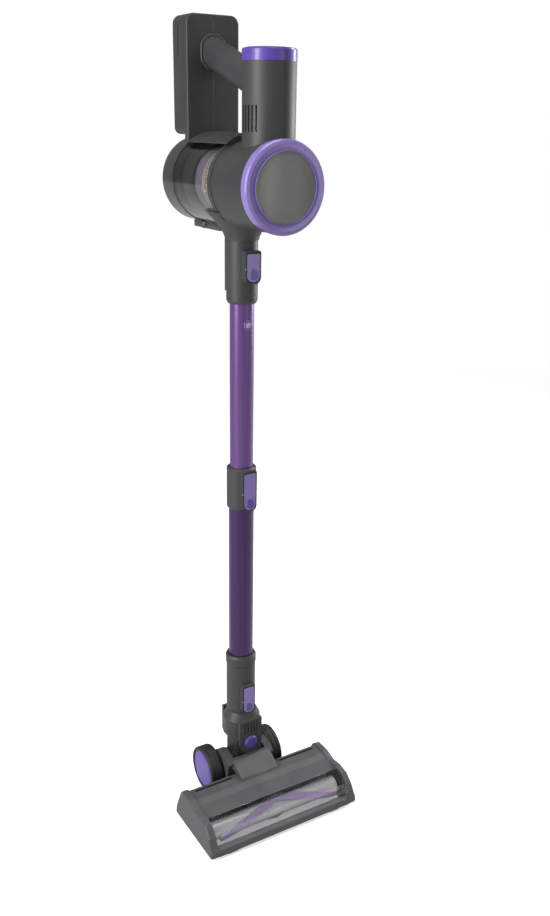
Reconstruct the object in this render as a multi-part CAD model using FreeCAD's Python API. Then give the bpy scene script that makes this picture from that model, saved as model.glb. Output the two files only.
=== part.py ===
import FreeCAD, Part
import math
import os

# Cordless stick vacuum, standing upright.  Millimetres, +Z up, front of the floor head towards -Y.
# The pieces are modelled with the wand's middle on x = y = 0, then moved along Y so that the origin
# is on the floor, midway between the front of the head and the back of the dust cup's lid.

V = FreeCAD.Vector
X_AXIS = V(1, 0, 0)
Y_AXIS = V(0, 1, 0)
Z_AXIS = V(0, 0, 1)

# ---- fits -------------------------------------------------------------------------------
slide_fit = 0.10        # radial clearance of a tube in its bore
pin_fit = 0.05          # radial clearance of a pin or shaft in its hole
gap = 0.35              # clearance between pieces that move past each other
seat = 0.05             # clearance between pieces of one body that seat on each other

# ---- wand -------------------------------------------------------------------------------
upper_tube_r = 15.9
lower_tube_r = 17.5
tube_wall = 1.1
lower_tube_bottom = 172.0
lower_tube_length = 329.0
upper_tube_overlap = 71.0       # length of the upper tube inside the lower one at full reach
upper_tube_length = 359.7
telescope_r = 20.3
telescope_bottom = 458.7
telescope_height = 59.7
detent_r = 3.6
detent_drop = 27.0              # detent centre below the mouth of the hand unit

# ---- hand unit --------------------------------------------------------------------------
neck_r = 20.3
neck_bottom = 741.6
neck_height = 79.4
socket_depth = 48.4
funnel_height = 36.0
funnel_r = 48.0
flare_steps = 8                 # facets along the funnel's curved flare
flare_power = 1.5               # how late the flare opens; 1 is a straight cone
body_r = 53.0
body_z = 889.0                  # height of the body's lengthwise axis
body_wall = 2.6
housing_front = -93.0
housing_rear = -18.0
front_ring_r = 53.8
front_ring_depth = 12.0
front_disc_r = 40.8
lock_ring_width = 8.4
spigot_r = 50.2
cup_r = 52.8
cup_wall = 2.0
cup_rear = 90.0
lid_depth = 32.7
rim_r = 53.5
rim_width = 4.0
filter_r = 40.0
filter_length = 46.0
shroud_length = 18.0
shroud_r = 41.0
skirt_r = 45.0
skirt_length = 28.0
motor_y = -74.0
motor_length = 44.0
motor_r = 38.0
fan_y = -38.5
fan_r = 31.0
fan_blades = 9
fan_shaft_r = 3.0
hinge_z = 830.4
hinge_pin_r = 1.5
knuckle_r = 3.9

tower_r = 31.3
tower_wall = 2.4
tower_y = -62.7
tower_top = 1024.5
cap_height = 14.0
display_r = 14.0
top_button_r = 5.5
vent_count = 5                  # slots on each side of the tower
vent_first_deg = 58.0           # from straight ahead to the first slot
vent_pitch_deg = 10.0
vent_low = 949.0
vent_high = 978.0
dock_front = 75.4
dock_thickness = 8.6
dock_half_width = 36.6
dock_top = 1083.9
dock_corner_r = 11.0
dock_low_r = 3.0
saddle_r = 59.5                 # outer radius of the arched spine under the battery dock
saddle_wall = 2.5
saddle_tip = 46.0               # height of the spine's two edges above the body's axis
battery_depth = 31.8
battery_wall = 2.4
battery_low_r = 8.0
edge_r = 2.2                    # rounding of the dock's and the battery's outer edges
cell_r = 9.0
cell_length = 65.0
cell_count = 7
handle_width = 31.0
handle_height = 37.0
handle_chamfer = 9.0
handle_wall = 3.0
handle_edge_r = 12.0
handle_front_z = 1004.5
handle_rear_z = 1040.5

# ---- floor head -------------------------------------------------------------------------
head_half_width = 109.0         # to the inner faces of the end caps
cap_top_width = 9.0             # end cap thickness at the top edge
cap_bottom_width = 13.5         # end cap thickness at the sole
cap_edge_r = 4.0                # rounding of the end caps' outer edges
sole_z = 5.0
head_front = -138.0
window_r = 25.9
window_y = -104.2
window_z = 17.4
window_wall = 1.8
window_top_y = -100.0
lip_z = 17.2
head_wall = 2.4
brush_y = -104.5
brush_z = 22.2
brush_r = 12.5
bristle_r = 17.3
brush_left_x = -106.0
brush_right_x = 101.0
strip_half_length = 97.0
brush_shaft_r = 2.5
brush_pulley_r = 10.0
drive_pulley_r = 5.0
drive_y = -62.0
drive_z = 27.0
belt_x = 102.4
belt_width = 4.0
belt_thickness = 1.4
wheel_r = 34.0
wheel_width = 20.5
wheel_inner_x = 40.5
wheel_y = 10.0
hub_r = 28.9
axle_r = 4.0
glide_x = 85.0
glide_y = -130.5
pitch_y = -8.0
pitch_z = 48.0
lug_r = 22.0
lug_inner_x = 27.2
lug_width = 11.0
apron_half_width = 31.0
barrel_r = 20.0
swivel_z = 88.0
hub_half_width = 18.0
swivel_hub_r = 20.0
swivel_pin_r = 6.0
yoke_r = 27.5
yoke_bottom = 95.0
collar_r = 21.3
collar_bottom = 134.0
collar_top = 220.0

# ---- rocker buttons: lower end, upper end, face distance from the wand axis, half width --
rocker_thickness = 4.2
rocker_pin_r = 1.2
rocker_pivot_share = 0.45       # pivot height as a share of the button's length
neck_rocker = (772.0, 806.5, 30.5, 8.8)
telescope_rocker = (461.5, 513.5, 25.0, 8.6)
collar_rocker = (137.5, 178.5, 26.0, 8.2)

# ---- derived ----------------------------------------------------------------------------
lower_tube_top = lower_tube_bottom + lower_tube_length
upper_tube_bottom = lower_tube_top - upper_tube_overlap
neck_top = neck_bottom + neck_height
cup_front = housing_rear + lock_ring_width + 2 * gap
cup_inner_r = cup_r - cup_wall
lid_front = cup_rear + gap
lid_rear = lid_front + lid_depth
cap_top = tower_top + cap_height
battery_front = dock_front + dock_thickness + gap
battery_rear = battery_front + battery_depth
lug_outer_x = lug_inner_x + lug_width
battery_bottom = body_z + rim_r + 1.5
dock_bottom = body_z + saddle_tip
brush_length = brush_right_x - brush_left_x
middle_y = (head_front + lid_rear) / 2


# ---- plain shapes -----------------------------------------------------------------------
def rod(radius, x, y, z, axis, length):
    """A round bar that starts at the point and runs along the axis."""
    return Part.makeCylinder(radius, length, V(x, y, z), axis)


def ring(outer, inner, x, y, z, axis, length):
    """A round tube that starts at the point and runs along the axis."""
    return rod(outer, x, y, z, axis, length).cut(rod(inner, x, y, z, axis, length))


def cone(radius, end_radius, x, y, z, axis, length):
    """A round bar whose radius changes evenly along the axis."""
    return Part.makeCone(radius, end_radius, length, V(x, y, z), axis)


def block(x0, x1, y0, y1, z0, z1):
    """A square-edged block between two corners."""
    return Part.makeBox(x1 - x0, y1 - y0, z1 - z0, V(x0, y0, z0))


def plate_x(outline, x0, x1, corner_r=0.0):
    """A flat outline of (y, z) points, extruded from x0 to x1, with its corners rounded."""
    points = [V(x0, y, z) for y, z in outline]
    plate = Part.Face(Part.makePolygon(points + points[:1])).extrude(V(x1 - x0, 0, 0))
    if corner_r:
        plate = plate.makeFillet(corner_r, [e for e in plate.Edges if along(e, X_AXIS)])
    return plate


def plate_y(outline, y0, y1, rise=0.0, corner_r=0.0):
    """A flat outline of (x, z) points, extruded from y0 to y1 and raised on the way."""
    points = [V(x, y0, z) for x, z in outline]
    run = V(0, y1 - y0, rise)
    plate = Part.Face(Part.makePolygon(points + points[:1])).extrude(run)
    if corner_r:
        plate = plate.makeFillet(corner_r, [e for e in plate.Edges if along(e, run.normalize())])
    return plate


def round_plate(half_width, z0, z1, low_r, high_r, y0, y1):
    """An upright plate from y0 to y1 with rounded lower and upper corners."""
    plate = block(-half_width, half_width, y0, y1, z0, z1)
    low = [e for e in plate.Edges if along(e, Y_AXIS) and e.CenterOfMass.z < (z0 + z1) / 2]
    plate = plate.makeFillet(low_r, low)
    high = [e for e in plate.Edges if along(e, Y_AXIS) and abs(e.CenterOfMass.z - z1) < 1e-4
            and abs(abs(e.CenterOfMass.x) - half_width) < 1e-4]
    return plate.makeFillet(high_r, high)


def along(edge, axis):
    """True for a straight edge that runs along the axis."""
    if edge.Curve.TypeId != "Part::GeomLine":
        return False
    return edge.Curve.Direction.cross(axis).Length < 1e-6


def fuse(*shapes):
    """One solid from shapes that touch or overlap."""
    return shapes[0].multiFuse(list(shapes[1:])).removeSplitter()


def mirror_x(shape):
    """The same shape on the other side of the middle plane."""
    return shape.mirror(V(0, 0, 0), X_AXIS)


def both_sides(shape):
    """The shape and its mirror image, as two solids in one group."""
    return Part.makeCompound([shape, mirror_x(shape)])


def spin(radius_points, x, y, z, axis):
    """A turned solid from (distance along axis, radius) points."""
    side = Z_AXIS if axis.cross(Z_AXIS).Length > 0.5 else X_AXIS
    start = V(x, y, z)
    points = [start + axis * d + side * r for d, r in radius_points]
    face = Part.Face(Part.makePolygon(points + points[:1]))
    return face.revolve(start, axis, 360)


# ---- rocker buttons ---------------------------------------------------------------------
def rocker_boss(rocker):
    """The raised front of a collar that holds a rocker button."""
    low, high, face, half = rocker
    return round_plate(half + 2.4, low - 3.4, high + 3.4, half, 3.0, -face + 1.2, 0)


def rocker_pocket(rocker, bore_r):
    """The room that the rocker button and its pivot stubs need in the collar."""
    low, high, face, half = rocker
    pocket = round_plate(half + gap, low - 0.6, high + 0.6, half - 1.5, 2.0, -face - 8, -bore_r - 1.0)
    return fuse(pocket, rocker_pivot(rocker, rocker_pin_r + pin_fit, half + 5))


def rocker_pivot(rocker, radius, reach):
    """A bar along the rocker's pivot line, as long on each side as the reach."""
    low, high, face, half = rocker
    pivot_z = low + rocker_pivot_share * (high - low)
    return rod(radius, -reach, -face + rocker_thickness / 2, pivot_z, X_AXIS, 2 * reach)


def rocker_button(rocker, bore_r):
    """A button on two pivot stubs, with a raised thumb pad below and a latch tooth above."""
    low, high, face, half = rocker
    plate = round_plate(half, low, high, half - 1.5, 2.0, -face, -face + rocker_thickness)
    pad = rod(half - 3.0, 0, -face - 0.9, low + half, Y_AXIS, 1.5)
    tooth_end = -bore_r - 1.0 - gap
    tooth = block(-4, 4, -face + rocker_thickness - 0.5, tooth_end, high - 7, high - 3)
    return fuse(plate, pad, tooth, rocker_pivot(rocker, rocker_pin_r, half + 2.0))


# ---- wand -------------------------------------------------------------------------------
def make_wand(parts):
    """The two tubes, the detent in the upper one, and the collar that locks them together."""
    tube = ring(lower_tube_r, lower_tube_r - tube_wall, 0, 0, lower_tube_bottom, Z_AXIS,
                lower_tube_length)
    parts["lower_tube"] = tube
    detent_z = neck_bottom - detent_drop
    tube = ring(upper_tube_r, upper_tube_r - tube_wall, 0, 0, upper_tube_bottom, Z_AXIS,
                upper_tube_length)
    hole = rod(detent_r + pin_fit, 0, -upper_tube_r - 1, detent_z, Y_AXIS, 5)
    parts["upper_tube"] = tube.cut(hole)
    button = rod(detent_r, 0, -upper_tube_r - 0.7, detent_z, Y_AXIS, 4.0)
    parts["wand_detent"] = button

    collar_wall_r = lower_tube_r + seat
    collar = spin([(0, 0), (0, telescope_r - 1.5), (1.5, telescope_r),
                   (telescope_height - 2, telescope_r), (telescope_height, telescope_r - 2),
                   (telescope_height, 0)], 0, 0, telescope_bottom, Z_AXIS)
    collar = fuse(collar, rocker_boss(telescope_rocker))
    collar = collar.cut(rod(collar_wall_r, 0, 0, telescope_bottom - 9, Z_AXIS,
                            lower_tube_top + seat - telescope_bottom + 9))
    collar = collar.cut(rod(upper_tube_r + slide_fit, 0, 0, telescope_bottom, Z_AXIS,
                            telescope_height + 9))
    parts["telescope_collar"] = collar.cut(rocker_pocket(telescope_rocker, collar_wall_r))
    parts["telescope_button"] = rocker_button(telescope_rocker, collar_wall_r)


# ---- hand unit --------------------------------------------------------------------------
def make_neck(parts):
    """The funnel under the body, the socket for the wand and its release button."""
    bore_r = upper_tube_r + slide_fit
    foot_r = neck_r + 1.2
    collar = spin([(0, 0), (0, neck_r - 2), (4, neck_r), (neck_height, neck_r),
                   (neck_height, 0)], 0, 0, neck_bottom, Z_AXIS)
    shares = [k / flare_steps for k in range(flare_steps + 1)]
    flare = [(funnel_height * s, foot_r + (funnel_r - foot_r) * s ** flare_power) for s in shares]
    funnel = spin([(0, 0)] + flare + [(funnel_height, 0)], 0, 0, neck_top, Z_AXIS)
    channel = block(-12, 12, 0, neck_r + 4.2, neck_bottom + 13, neck_top)
    neck = fuse(collar, funnel, channel, rocker_boss(neck_rocker))
    neck = neck.cut(rod(body_r, 0, housing_front - 30, body_z, Y_AXIS, 60 - housing_front))
    neck = neck.cut(rod(rim_r + gap + 0.15, 0, housing_rear, body_z, Y_AXIS, 90))
    neck = neck.cut(block(-60, 60, -60, 60, body_z - 33, body_z + 20))
    neck = neck.cut(rod(bore_r, 0, 0, neck_bottom - 1, Z_AXIS, socket_depth + 1 + gap))
    neck = neck.cut(rod(11.0, 0, 4, neck_bottom, Z_AXIS, 150))
    parts["inlet_neck"] = neck.cut(rocker_pocket(neck_rocker, bore_r))
    parts["neck_button"] = rocker_button(neck_rocker, bore_r)


def make_housing(parts):
    """Motor housing with its front cover, filter, motor and fan."""
    length = housing_rear - housing_front
    shell = ring(body_r, body_r - body_wall, 0, housing_front, body_z, Y_AXIS, length)
    bulkhead = ring(body_r - 1, 18, 0, housing_rear - 3, body_z, Y_AXIS, 3)
    spigot = ring(spigot_r, spigot_r - 2.4, 0, housing_rear - 3, body_z, Y_AXIS,
                  3 + lock_ring_width + gap)
    housing = fuse(shell, bulkhead, spigot)
    housing = housing.cut(rod(20, 0, tower_y, body_z + 20, Z_AXIS, 50))
    parts["motor_housing"] = housing

    lock = ring(rim_r, spigot_r + slide_fit, 0, housing_rear + gap, body_z, Y_AXIS, lock_ring_width)
    mark = block(rim_r - 0.8, rim_r + 2, housing_rear - 1, housing_rear + 5, body_z - 0.8, body_z + 0.8)
    parts["lock_ring"] = lock.cut(mark).cut(mirror_x(mark))

    face_y = housing_front - front_ring_depth
    inner = front_disc_r + seat
    profile = [(0, inner), (1.5, inner + 0.6), (0.4, inner + 4), (0, front_ring_r - 5),
               (1.2, front_ring_r - 1.6), (3.2, front_ring_r), (front_ring_depth - gap, front_ring_r),
               (front_ring_depth - gap, inner)]
    parts["front_ring"] = spin(profile, 0, face_y, body_z, Y_AXIS)
    dome = spin([(0.2, 0), (0.5, 14), (1.4, 28), (2.8, front_disc_r), (6.5, front_disc_r), (6.5, 0)],
                0, face_y - 1.2, body_z, Y_AXIS)
    parts["front_disc"] = dome
    filter_y = face_y + 6.5
    parts["exhaust_filter"] = ring(front_disc_r - 2.5, 14, 0, filter_y, body_z, Y_AXIS, 12)

    parts["motor_case"] = make_motor_case()
    shaft = rod(fan_shaft_r, 0, motor_y - 2, body_z, Y_AXIS, motor_length - 2)
    rotor = rod(12.5, 0, motor_y + 4, body_z, Y_AXIS, 22)
    disc = rod(fan_r, 0, fan_y, body_z, Y_AXIS, 2)
    blade = block(9, fan_r - 1, fan_y - 6, fan_y + 0.5, body_z - 0.8, body_z + 0.8)
    core = rod(10, 0, fan_y - 10, body_z, Y_AXIS, 11)
    parts["fan_rotor"] = fuse(shaft, rotor, disc, core, *round_body(blade, fan_blades))


def make_motor_case():
    """The fan motor's case, held in the housing by three feet, with six air holes in front."""
    fit_r = body_r - body_wall - seat
    case = ring(motor_r, motor_r - 2.5, 0, motor_y, body_z, Y_AXIS, motor_length)
    back = ring(48, 16, 0, motor_y + motor_length - 3, body_z, Y_AXIS, 3)
    front = ring(motor_r - 1, fan_shaft_r + pin_fit, 0, motor_y, body_z, Y_AXIS, 3)
    foot = block(motor_r - 1, fit_r, motor_y + 29, motor_y + 41, body_z - 5, body_z + 5)
    foot.rotate(V(0, 0, body_z), Y_AXIS, 30)
    case = fuse(case, back, front, *round_body(foot, 3))
    case = case.common(rod(fit_r, 0, motor_y - 6, body_z, Y_AXIS, motor_length + 16))
    hole = rod(6, 24, motor_y - 2, body_z, Y_AXIS, 6)
    for copy in round_body(hole, 6):
        case = case.cut(copy)
    return case


def round_body(shape, count):
    """Evenly spaced copies of a shape round the body's axis."""
    copies = []
    for k in range(count):
        copy = shape.copy()
        copy.rotate(V(0, 0, body_z), Y_AXIS, 360 * k / count)
        copies.append(copy)
    return copies


def make_tower(parts):
    """The upright grip tower on the housing, its cap, display and buttons."""
    foot_z = body_z + 30
    tower = ring(tower_r, tower_r - tower_wall, 0, tower_y, foot_z, Z_AXIS, tower_top - foot_z)
    flange = ring(tower_r - 1, 20, 0, tower_y, body_z + body_r - 2, Z_AXIS, 4)
    tower = fuse(tower, flange).cut(rod(body_r, 0, housing_front - 30, body_z, Y_AXIS, 160))
    tower = tower.cut(rod(front_ring_r + gap, 0, housing_front - 30, body_z, Y_AXIS, 30 + gap))
    for side in (-1, 1):
        for k in range(vent_count):
            slot = block(-1.1, 1.1, -tower_r - 3, -tower_r + tower_wall + 2, vent_low, vent_high)
            slot.rotate(V(0, 0, 0), Z_AXIS, -side * (vent_first_deg + vent_pitch_deg * k))
            slot.translate(V(0, tower_y, 0))
            tower = tower.cut(slot)
    parts["tower_shell"] = tower

    cap = spin([(0, 0), (0, tower_r + 0.3), (cap_height - 2.5, tower_r + 0.3),
                (cap_height - 0.7, tower_r - 0.6), (cap_height, tower_r - 2.8), (cap_height, 0)],
               0, tower_y, tower_top, Z_AXIS)
    cap = cap.cut(rod(tower_r - tower_wall, 0, tower_y, tower_top - 1, Z_AXIS, cap_height - 3))
    screen_y = tower_y - 9
    cap = cap.cut(rod(display_r + seat, 0, screen_y, cap_top - 2.5, Z_AXIS, 9))
    parts["display"] = rod(display_r, 0, screen_y, cap_top - 2.5, Z_AXIS, 2.1)
    for name, x in (("power_button", -9.0), ("mode_button", 9.0)):
        cap = cap.cut(rod(top_button_r + gap, x, tower_y + 15, tower_top + 5, Z_AXIS, 20))
        head = rod(top_button_r, x, tower_y + 15, cap_top - 5.2, Z_AXIS, 6.4)
        skirt = rod(top_button_r + 1.5, x, tower_y + 15, cap_top - 6.2, Z_AXIS, 1.6)
        parts[name] = fuse(head, skirt)
    parts["tower_cap"] = cap


def handle_outline(width, height, chamfer, centre_z):
    """The eight corners of the grip's section."""
    w, h = width / 2, height / 2
    corners = [(-w + chamfer, -h), (w - chamfer, -h), (w, -h + chamfer), (w, h - chamfer),
               (w - chamfer, h), (-w + chamfer, h), (-w, h - chamfer), (-w, -h + chamfer)]
    return [(x, centre_z + z) for x, z in corners]


def make_handle(parts):
    """The grip, the battery dock and the arched spine, as a left and a right half."""
    run = dock_front - tower_y
    start_y = tower_y
    slope = (handle_rear_z - handle_front_z) / (dock_front + 32.0)
    start_z = handle_front_z - slope * (-32.0 - tower_y)
    rise = handle_rear_z - start_z
    grip = plate_y(handle_outline(handle_width, handle_height, handle_chamfer, start_z),
                   start_y, dock_front + 1, rise * (run + 1) / run, handle_edge_r)
    foot_rim = plate_y(handle_outline(handle_width + 6, handle_height + 6, handle_chamfer + 2,
                                      handle_rear_z), dock_front - 3, dock_front + 1, 0, handle_edge_r)
    rim = [e for e in foot_rim.Edges if abs(e.CenterOfMass.y - dock_front + 3) < 1e-4]
    foot_rim = foot_rim.makeFillet(1.6, rim)
    dock_rear = dock_front + dock_thickness
    dock = round_plate(dock_half_width, dock_bottom, dock_top, dock_low_r, dock_corner_r,
                       dock_front, dock_rear)
    rim = [e for e in dock.Edges if abs(e.CenterOfMass.y - dock_front) < 1e-4]
    dock = dock.makeFillet(edge_r, rim)
    arch = rod(saddle_r, 0, housing_rear - 10, body_z, Y_AXIS, dock_rear - housing_rear + 10)
    front_slope = plate_x([(housing_rear - 20, body_z + 80), (dock_front - 25, body_z + 80),
                           (dock_front - 25, body_z + saddle_r), (housing_rear - 20, body_z + body_r + 1.5)],
                          -60, 60)
    arch = arch.cut(front_slope)
    arch = arch.common(block(-dock_half_width, dock_half_width, housing_rear - 10, dock_rear,
                             dock_bottom, body_z + 80))
    shape = fuse(grip, foot_rim, dock, arch)
    shape = shape.cut(rod(tower_r, 0, tower_y, body_z, Z_AXIS, 200))
    shape = shape.cut(rod(body_r, 0, housing_front, body_z, Y_AXIS, housing_rear - housing_front))
    shape = shape.cut(rod(saddle_r - saddle_wall, 0, housing_rear, body_z, Y_AXIS, 200))
    hollow = plate_y(handle_outline(handle_width - 2 * handle_wall, handle_height - 2 * handle_wall,
                                    handle_chamfer - handle_wall / 2, start_z),
                     start_y, dock_front, rise)
    shape = shape.cut(hollow)
    left = shape.common(block(-90, 0, -200, 200, body_z, 1200))
    parts["handle_left"] = left
    parts["handle_right"] = shape.common(block(0, 90, -200, 200, body_z, 1200))


def make_battery(parts):
    """The battery pack that clips on the back of the dock, with cells, board and clips."""
    outer = round_plate(dock_half_width, battery_bottom, dock_top, battery_low_r, dock_corner_r,
                        battery_front, battery_rear)
    rim = [e for e in outer.Edges if abs(e.CenterOfMass.y - battery_rear) < 1e-4]
    outer = outer.makeFillet(edge_r, rim)
    floor_z = battery_bottom + battery_wall
    cover_y = battery_front + 2.2
    room = round_plate(dock_half_width - battery_wall, floor_z, dock_top - battery_wall,
                       battery_low_r - 2 * battery_wall, dock_corner_r - battery_wall, cover_y,
                       battery_rear - battery_wall)
    case = outer.cut(room)
    case = case.cut(block(-90, 90, battery_front - 1, cover_y, body_z, 1200))
    cover = outer.common(block(-90, 90, battery_front, cover_y - seat, body_z, 1200))
    clip_y = battery_front + 18
    clip = block(-dock_half_width - 0.5, -dock_half_width + 2.3, clip_y - 2.5, clip_y + 2.5,
                 1037.5, 1070.5)
    case = case.cut(block(-dock_half_width - 3, -dock_half_width + 4, clip_y - 2.5 - gap,
                          clip_y + 2.5 + gap, 1037.5 - gap, 1070.5 + gap))
    case = case.cut(block(dock_half_width - 4, dock_half_width + 3, clip_y - 2.5 - gap,
                          clip_y + 2.5 + gap, 1037.5 - gap, 1070.5 + gap))
    jack_y = battery_front + 6.8
    jack_z = battery_bottom + 13
    case = case.cut(rod(4.2, dock_half_width - 12, jack_y, jack_z, X_AXIS, 20))
    parts["battery_case"] = case
    parts["battery_cover"] = cover
    parts["battery_clip_left"] = clip
    parts["battery_clip_right"] = mirror_x(clip)
    parts["charge_jack"] = ring(4.2, 2.75, dock_half_width - 10.5, jack_y, jack_z, X_AXIS, 10.5)
    first_z = floor_z + cell_r + 0.5
    cell_y = battery_rear - battery_wall - cell_r - 0.3
    cell_pitch = 2 * cell_r + seat
    cells = [rod(cell_r, -cell_length / 2, cell_y, first_z + k * cell_pitch, X_AXIS, cell_length)
             for k in range(cell_count)]
    parts["battery_cells"] = Part.makeCompound(cells)


def make_cup(parts):
    """The clear dust cup, its bottom hinge, the rear lid and the side latch."""
    cup = ring(cup_r, cup_inner_r, 0, cup_front, body_z, Y_AXIS, cup_rear - cup_front)
    front_rim = ring(rim_r, cup_inner_r, 0, cup_front, body_z, Y_AXIS, rim_width)
    rear_rim = ring(rim_r, cup_inner_r, 0, cup_rear - rim_width, body_z, Y_AXIS, rim_width)
    bracket = block(-8, 8, cup_rear - 44, cup_rear - 6, hinge_z - 2.6, body_z - cup_r + 3)
    ears = [fuse(rod(knuckle_r, x, cup_rear, hinge_z, X_AXIS, 4.6),
                 block(x, x + 4.6, cup_rear - 8, cup_rear - 0.01, hinge_z - 2.6, hinge_z + 4.5))
            for x in (-9.6, 5.0)]
    lugs = [block(cup_r - 1.5, cup_r + 6, 78, 86, body_z + z, body_z + z + 3) for z in (-10.6, 7.6)]
    cup = fuse(cup, front_rim, rear_rim, bracket, *ears, *lugs)
    cup = cup.cut(rod(cup_inner_r, 0, cup_front - 1, body_z, Y_AXIS, 200))
    cup = cup.cut(rod(11, 0, 4, 800, Z_AXIS, 60))
    hinge_hole = rod(hinge_pin_r, -20, cup_rear, hinge_z, X_AXIS, 40)
    latch_hole = rod(1.3, cup_r + 3.6, 82, body_z - 12, Z_AXIS, 24)
    lid_sweep = block(-30, 30, lid_front - gap, lid_front + 40, body_z - 53, body_z)
    parts["dust_cup"] = cup.cut(hinge_hole).cut(latch_hole).cut(lid_sweep)
    parts["cup_pins"] = Part.makeCompound([rod(hinge_pin_r, -9.6, cup_rear, hinge_z, X_AXIS, 19.2),
                                           rod(1.3, cup_r + 3.6, 82, body_z - 10.6, Z_AXIS, 21.2)])

    seal_r = cup_inner_r - 0.5
    lid = spin([(0, seal_r), (0, rim_r), (lid_depth - 5, rim_r), (lid_depth - 2.5, rim_r - 0.9),
                (lid_depth, rim_r - 3.6), (lid_depth - 1.2, 30), (lid_depth - 1.2, 0),
                (lid_depth - 3.6, 0), (lid_depth - 3.6, seal_r)], 0, lid_front, body_z, Y_AXIS)
    leaf = block(-8, 8, cup_rear + 5.2, lid_rear - 4, hinge_z - 3.2, body_z - rim_r + 6)
    tongue = block(-4.6, 4.6, cup_rear + 0.5, cup_rear + 8, hinge_z - 3.2, body_z - rim_r + 6)
    knuckle = rod(knuckle_r, -4.6, cup_rear, hinge_z, X_AXIS, 9.2)
    catch = block(rim_r - 1, rim_r + 1.4, lid_front + 1.5, lid_front + 4, body_z - 6, body_z + 6)
    lid = fuse(lid, leaf.fuse(tongue).cut(rod(rim_r - 1, 0, cup_rear, body_z, Y_AXIS, 60)), catch)
    lid = lid.cut(block(-20, 20, cup_rear - 10, lid_front + 0.2, hinge_z + 3.95, body_z))
    lid = fuse(lid, knuckle).cut(rod(hinge_pin_r + pin_fit, -20, cup_rear, hinge_z, X_AXIS, 40))
    parts["cup_lid"] = lid
    parts["lid_seal"] = ring(seal_r - seat, seal_r - 2.6, 0, lid_front - 3.5, body_z, Y_AXIS, 6)

    lever_x = rim_r + 1.9
    lever = block(lever_x, lever_x + 2.6, 64, 99, body_z - 7, body_z + 7)
    eye = rod(3.2, cup_r + 3.6, 82, body_z - 7, Z_AXIS, 14)
    lever = fuse(lever, eye).cut(rod(1.3 + pin_fit, cup_r + 3.6, 82, body_z - 12, Z_AXIS, 24))
    parts["lid_latch"] = lever.cut(rod(rim_r + gap, 0, 60, body_z, Y_AXIS, 60))


def make_filter(parts):
    """The filter cartridge, the cyclone shroud and its skirt, which draw out rearwards."""
    y = housing_rear + gap
    cartridge = ring(filter_r, filter_r - 12, 0, y, body_z, Y_AXIS, filter_length)
    nose = ring(17.5, 14, 0, y - 2, body_z, Y_AXIS, 3)
    web = ring(filter_r - 11, 14, 0, y, body_z, Y_AXIS, 2.5)
    parts["filter_cartridge"] = fuse(cartridge, nose, web)
    y += filter_length + seat
    parts["cyclone_shroud"] = rod(shroud_r, 0, y, body_z, Y_AXIS, shroud_length)
    y += shroud_length + seat
    parts["shroud_skirt"] = spin([(0, 0), (0, skirt_r), (skirt_length - 1.5, skirt_r),
                                  (skirt_length, skirt_r - 1.5), (skirt_length, 0)],
                                 0, y, body_z, Y_AXIS)


# ---- floor head -------------------------------------------------------------------------
def cover_outline():
    """The (y, z) outline of the head's cover behind the window."""
    return [(-28, 12), (-28, 24), (-36, 44), (-42, 49.5), (-50, 50.5), (-66, 50), (-75, 46.5),
            (window_top_y, 43)]


def make_head(parts):
    """Cover, window, sole, lip and end caps of the floor head."""
    w = head_half_width
    outer = cover_outline()
    inner = [(-28 - head_wall, 12), (-28 - head_wall, 23), (-37.6, 41), (-43, 46.6), (-50, 47.6),
             (-65.4, 47.4), (-74.6, 43.9), (-100, 40.4)]
    cover = plate_x(outer + inner[::-1], -w, w, 0.9)
    slot = block(-w + 8, -40, -50.5, -46.5, 46.6, 52)
    parts["head_cover"] = cover.cut(slot).cut(mirror_x(slot))

    window = ring(window_r, window_r - window_wall, -w, window_y, window_z, X_AXIS, 2 * w)
    parts["head_window"] = window.common(block(-w, w, -200, window_top_y - seat, lip_z + seat, 60))

    parts["front_lip"] = plate_x([(-126.5, sole_z), (-126.5, lip_z - 3), (-128.2, lip_z),
                                  (-131, lip_z), (-136.6, lip_z - 2.5), (head_front, 11.5),
                                  (head_front, sole_z)], -w, w, 0.9)
    sole = block(-w, w, -126.5 + seat, -28, sole_z, sole_z + 3)
    mouth = block(-w + 5, w - 5, brush_y - bristle_r - 1, brush_y + bristle_r + 1, 0, 20)
    wall = block(-w, belt_x - 3, brush_y + bristle_r + 2.5, brush_y + bristle_r + 4.5, sole_z, 41.5)
    rear = block(-w, w, -28 - head_wall, -28, sole_z, 11.9)
    sole = fuse(sole, wall, rear).cut(mouth)
    duct = rod(15, 0, brush_y, 27, Y_AXIS, 60)
    sole = sole.cut(duct)
    parts["sole_plate"] = sole

    cap_outline = [(-24, sole_z), (-24, 18), (-34, 46), (-42, 52), (-64, 52), (-81, 46),
                   (-98, 48), (-115, 45), (-128, 32), (-135, 18), (head_front, 14), (head_front, sole_z)]
    cap = plate_x(cap_outline, w + seat, w + cap_bottom_width, 2.0)
    taper = plate_y([(w + cap_top_width, 60), (w + cap_bottom_width, sole_z),
                     (w + 40, sole_z - 1), (w + 40, 60)], -200, 0)
    bearing = rod(brush_shaft_r + pin_fit, w - 1, brush_y, brush_z, X_AXIS, 4)
    cap = cap.cut(taper)
    rim = [e for e in cap.Edges
           if e.BoundBox.XMin > w + cap_top_width - 1 and e.CenterOfMass.z > sole_z + 1]
    cap = cap.makeFillet(cap_edge_r, rim).cut(bearing)
    parts["end_cap_right"] = cap
    parts["end_cap_left"] = mirror_x(cap)

    glide = plate_x([(glide_y - 5, sole_z), (glide_y - 3, 0), (glide_y + 3, 0), (glide_y + 5, sole_z)],
                    glide_x - 8, glide_x + 8)
    parts["front_glides"] = both_sides(glide)


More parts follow.
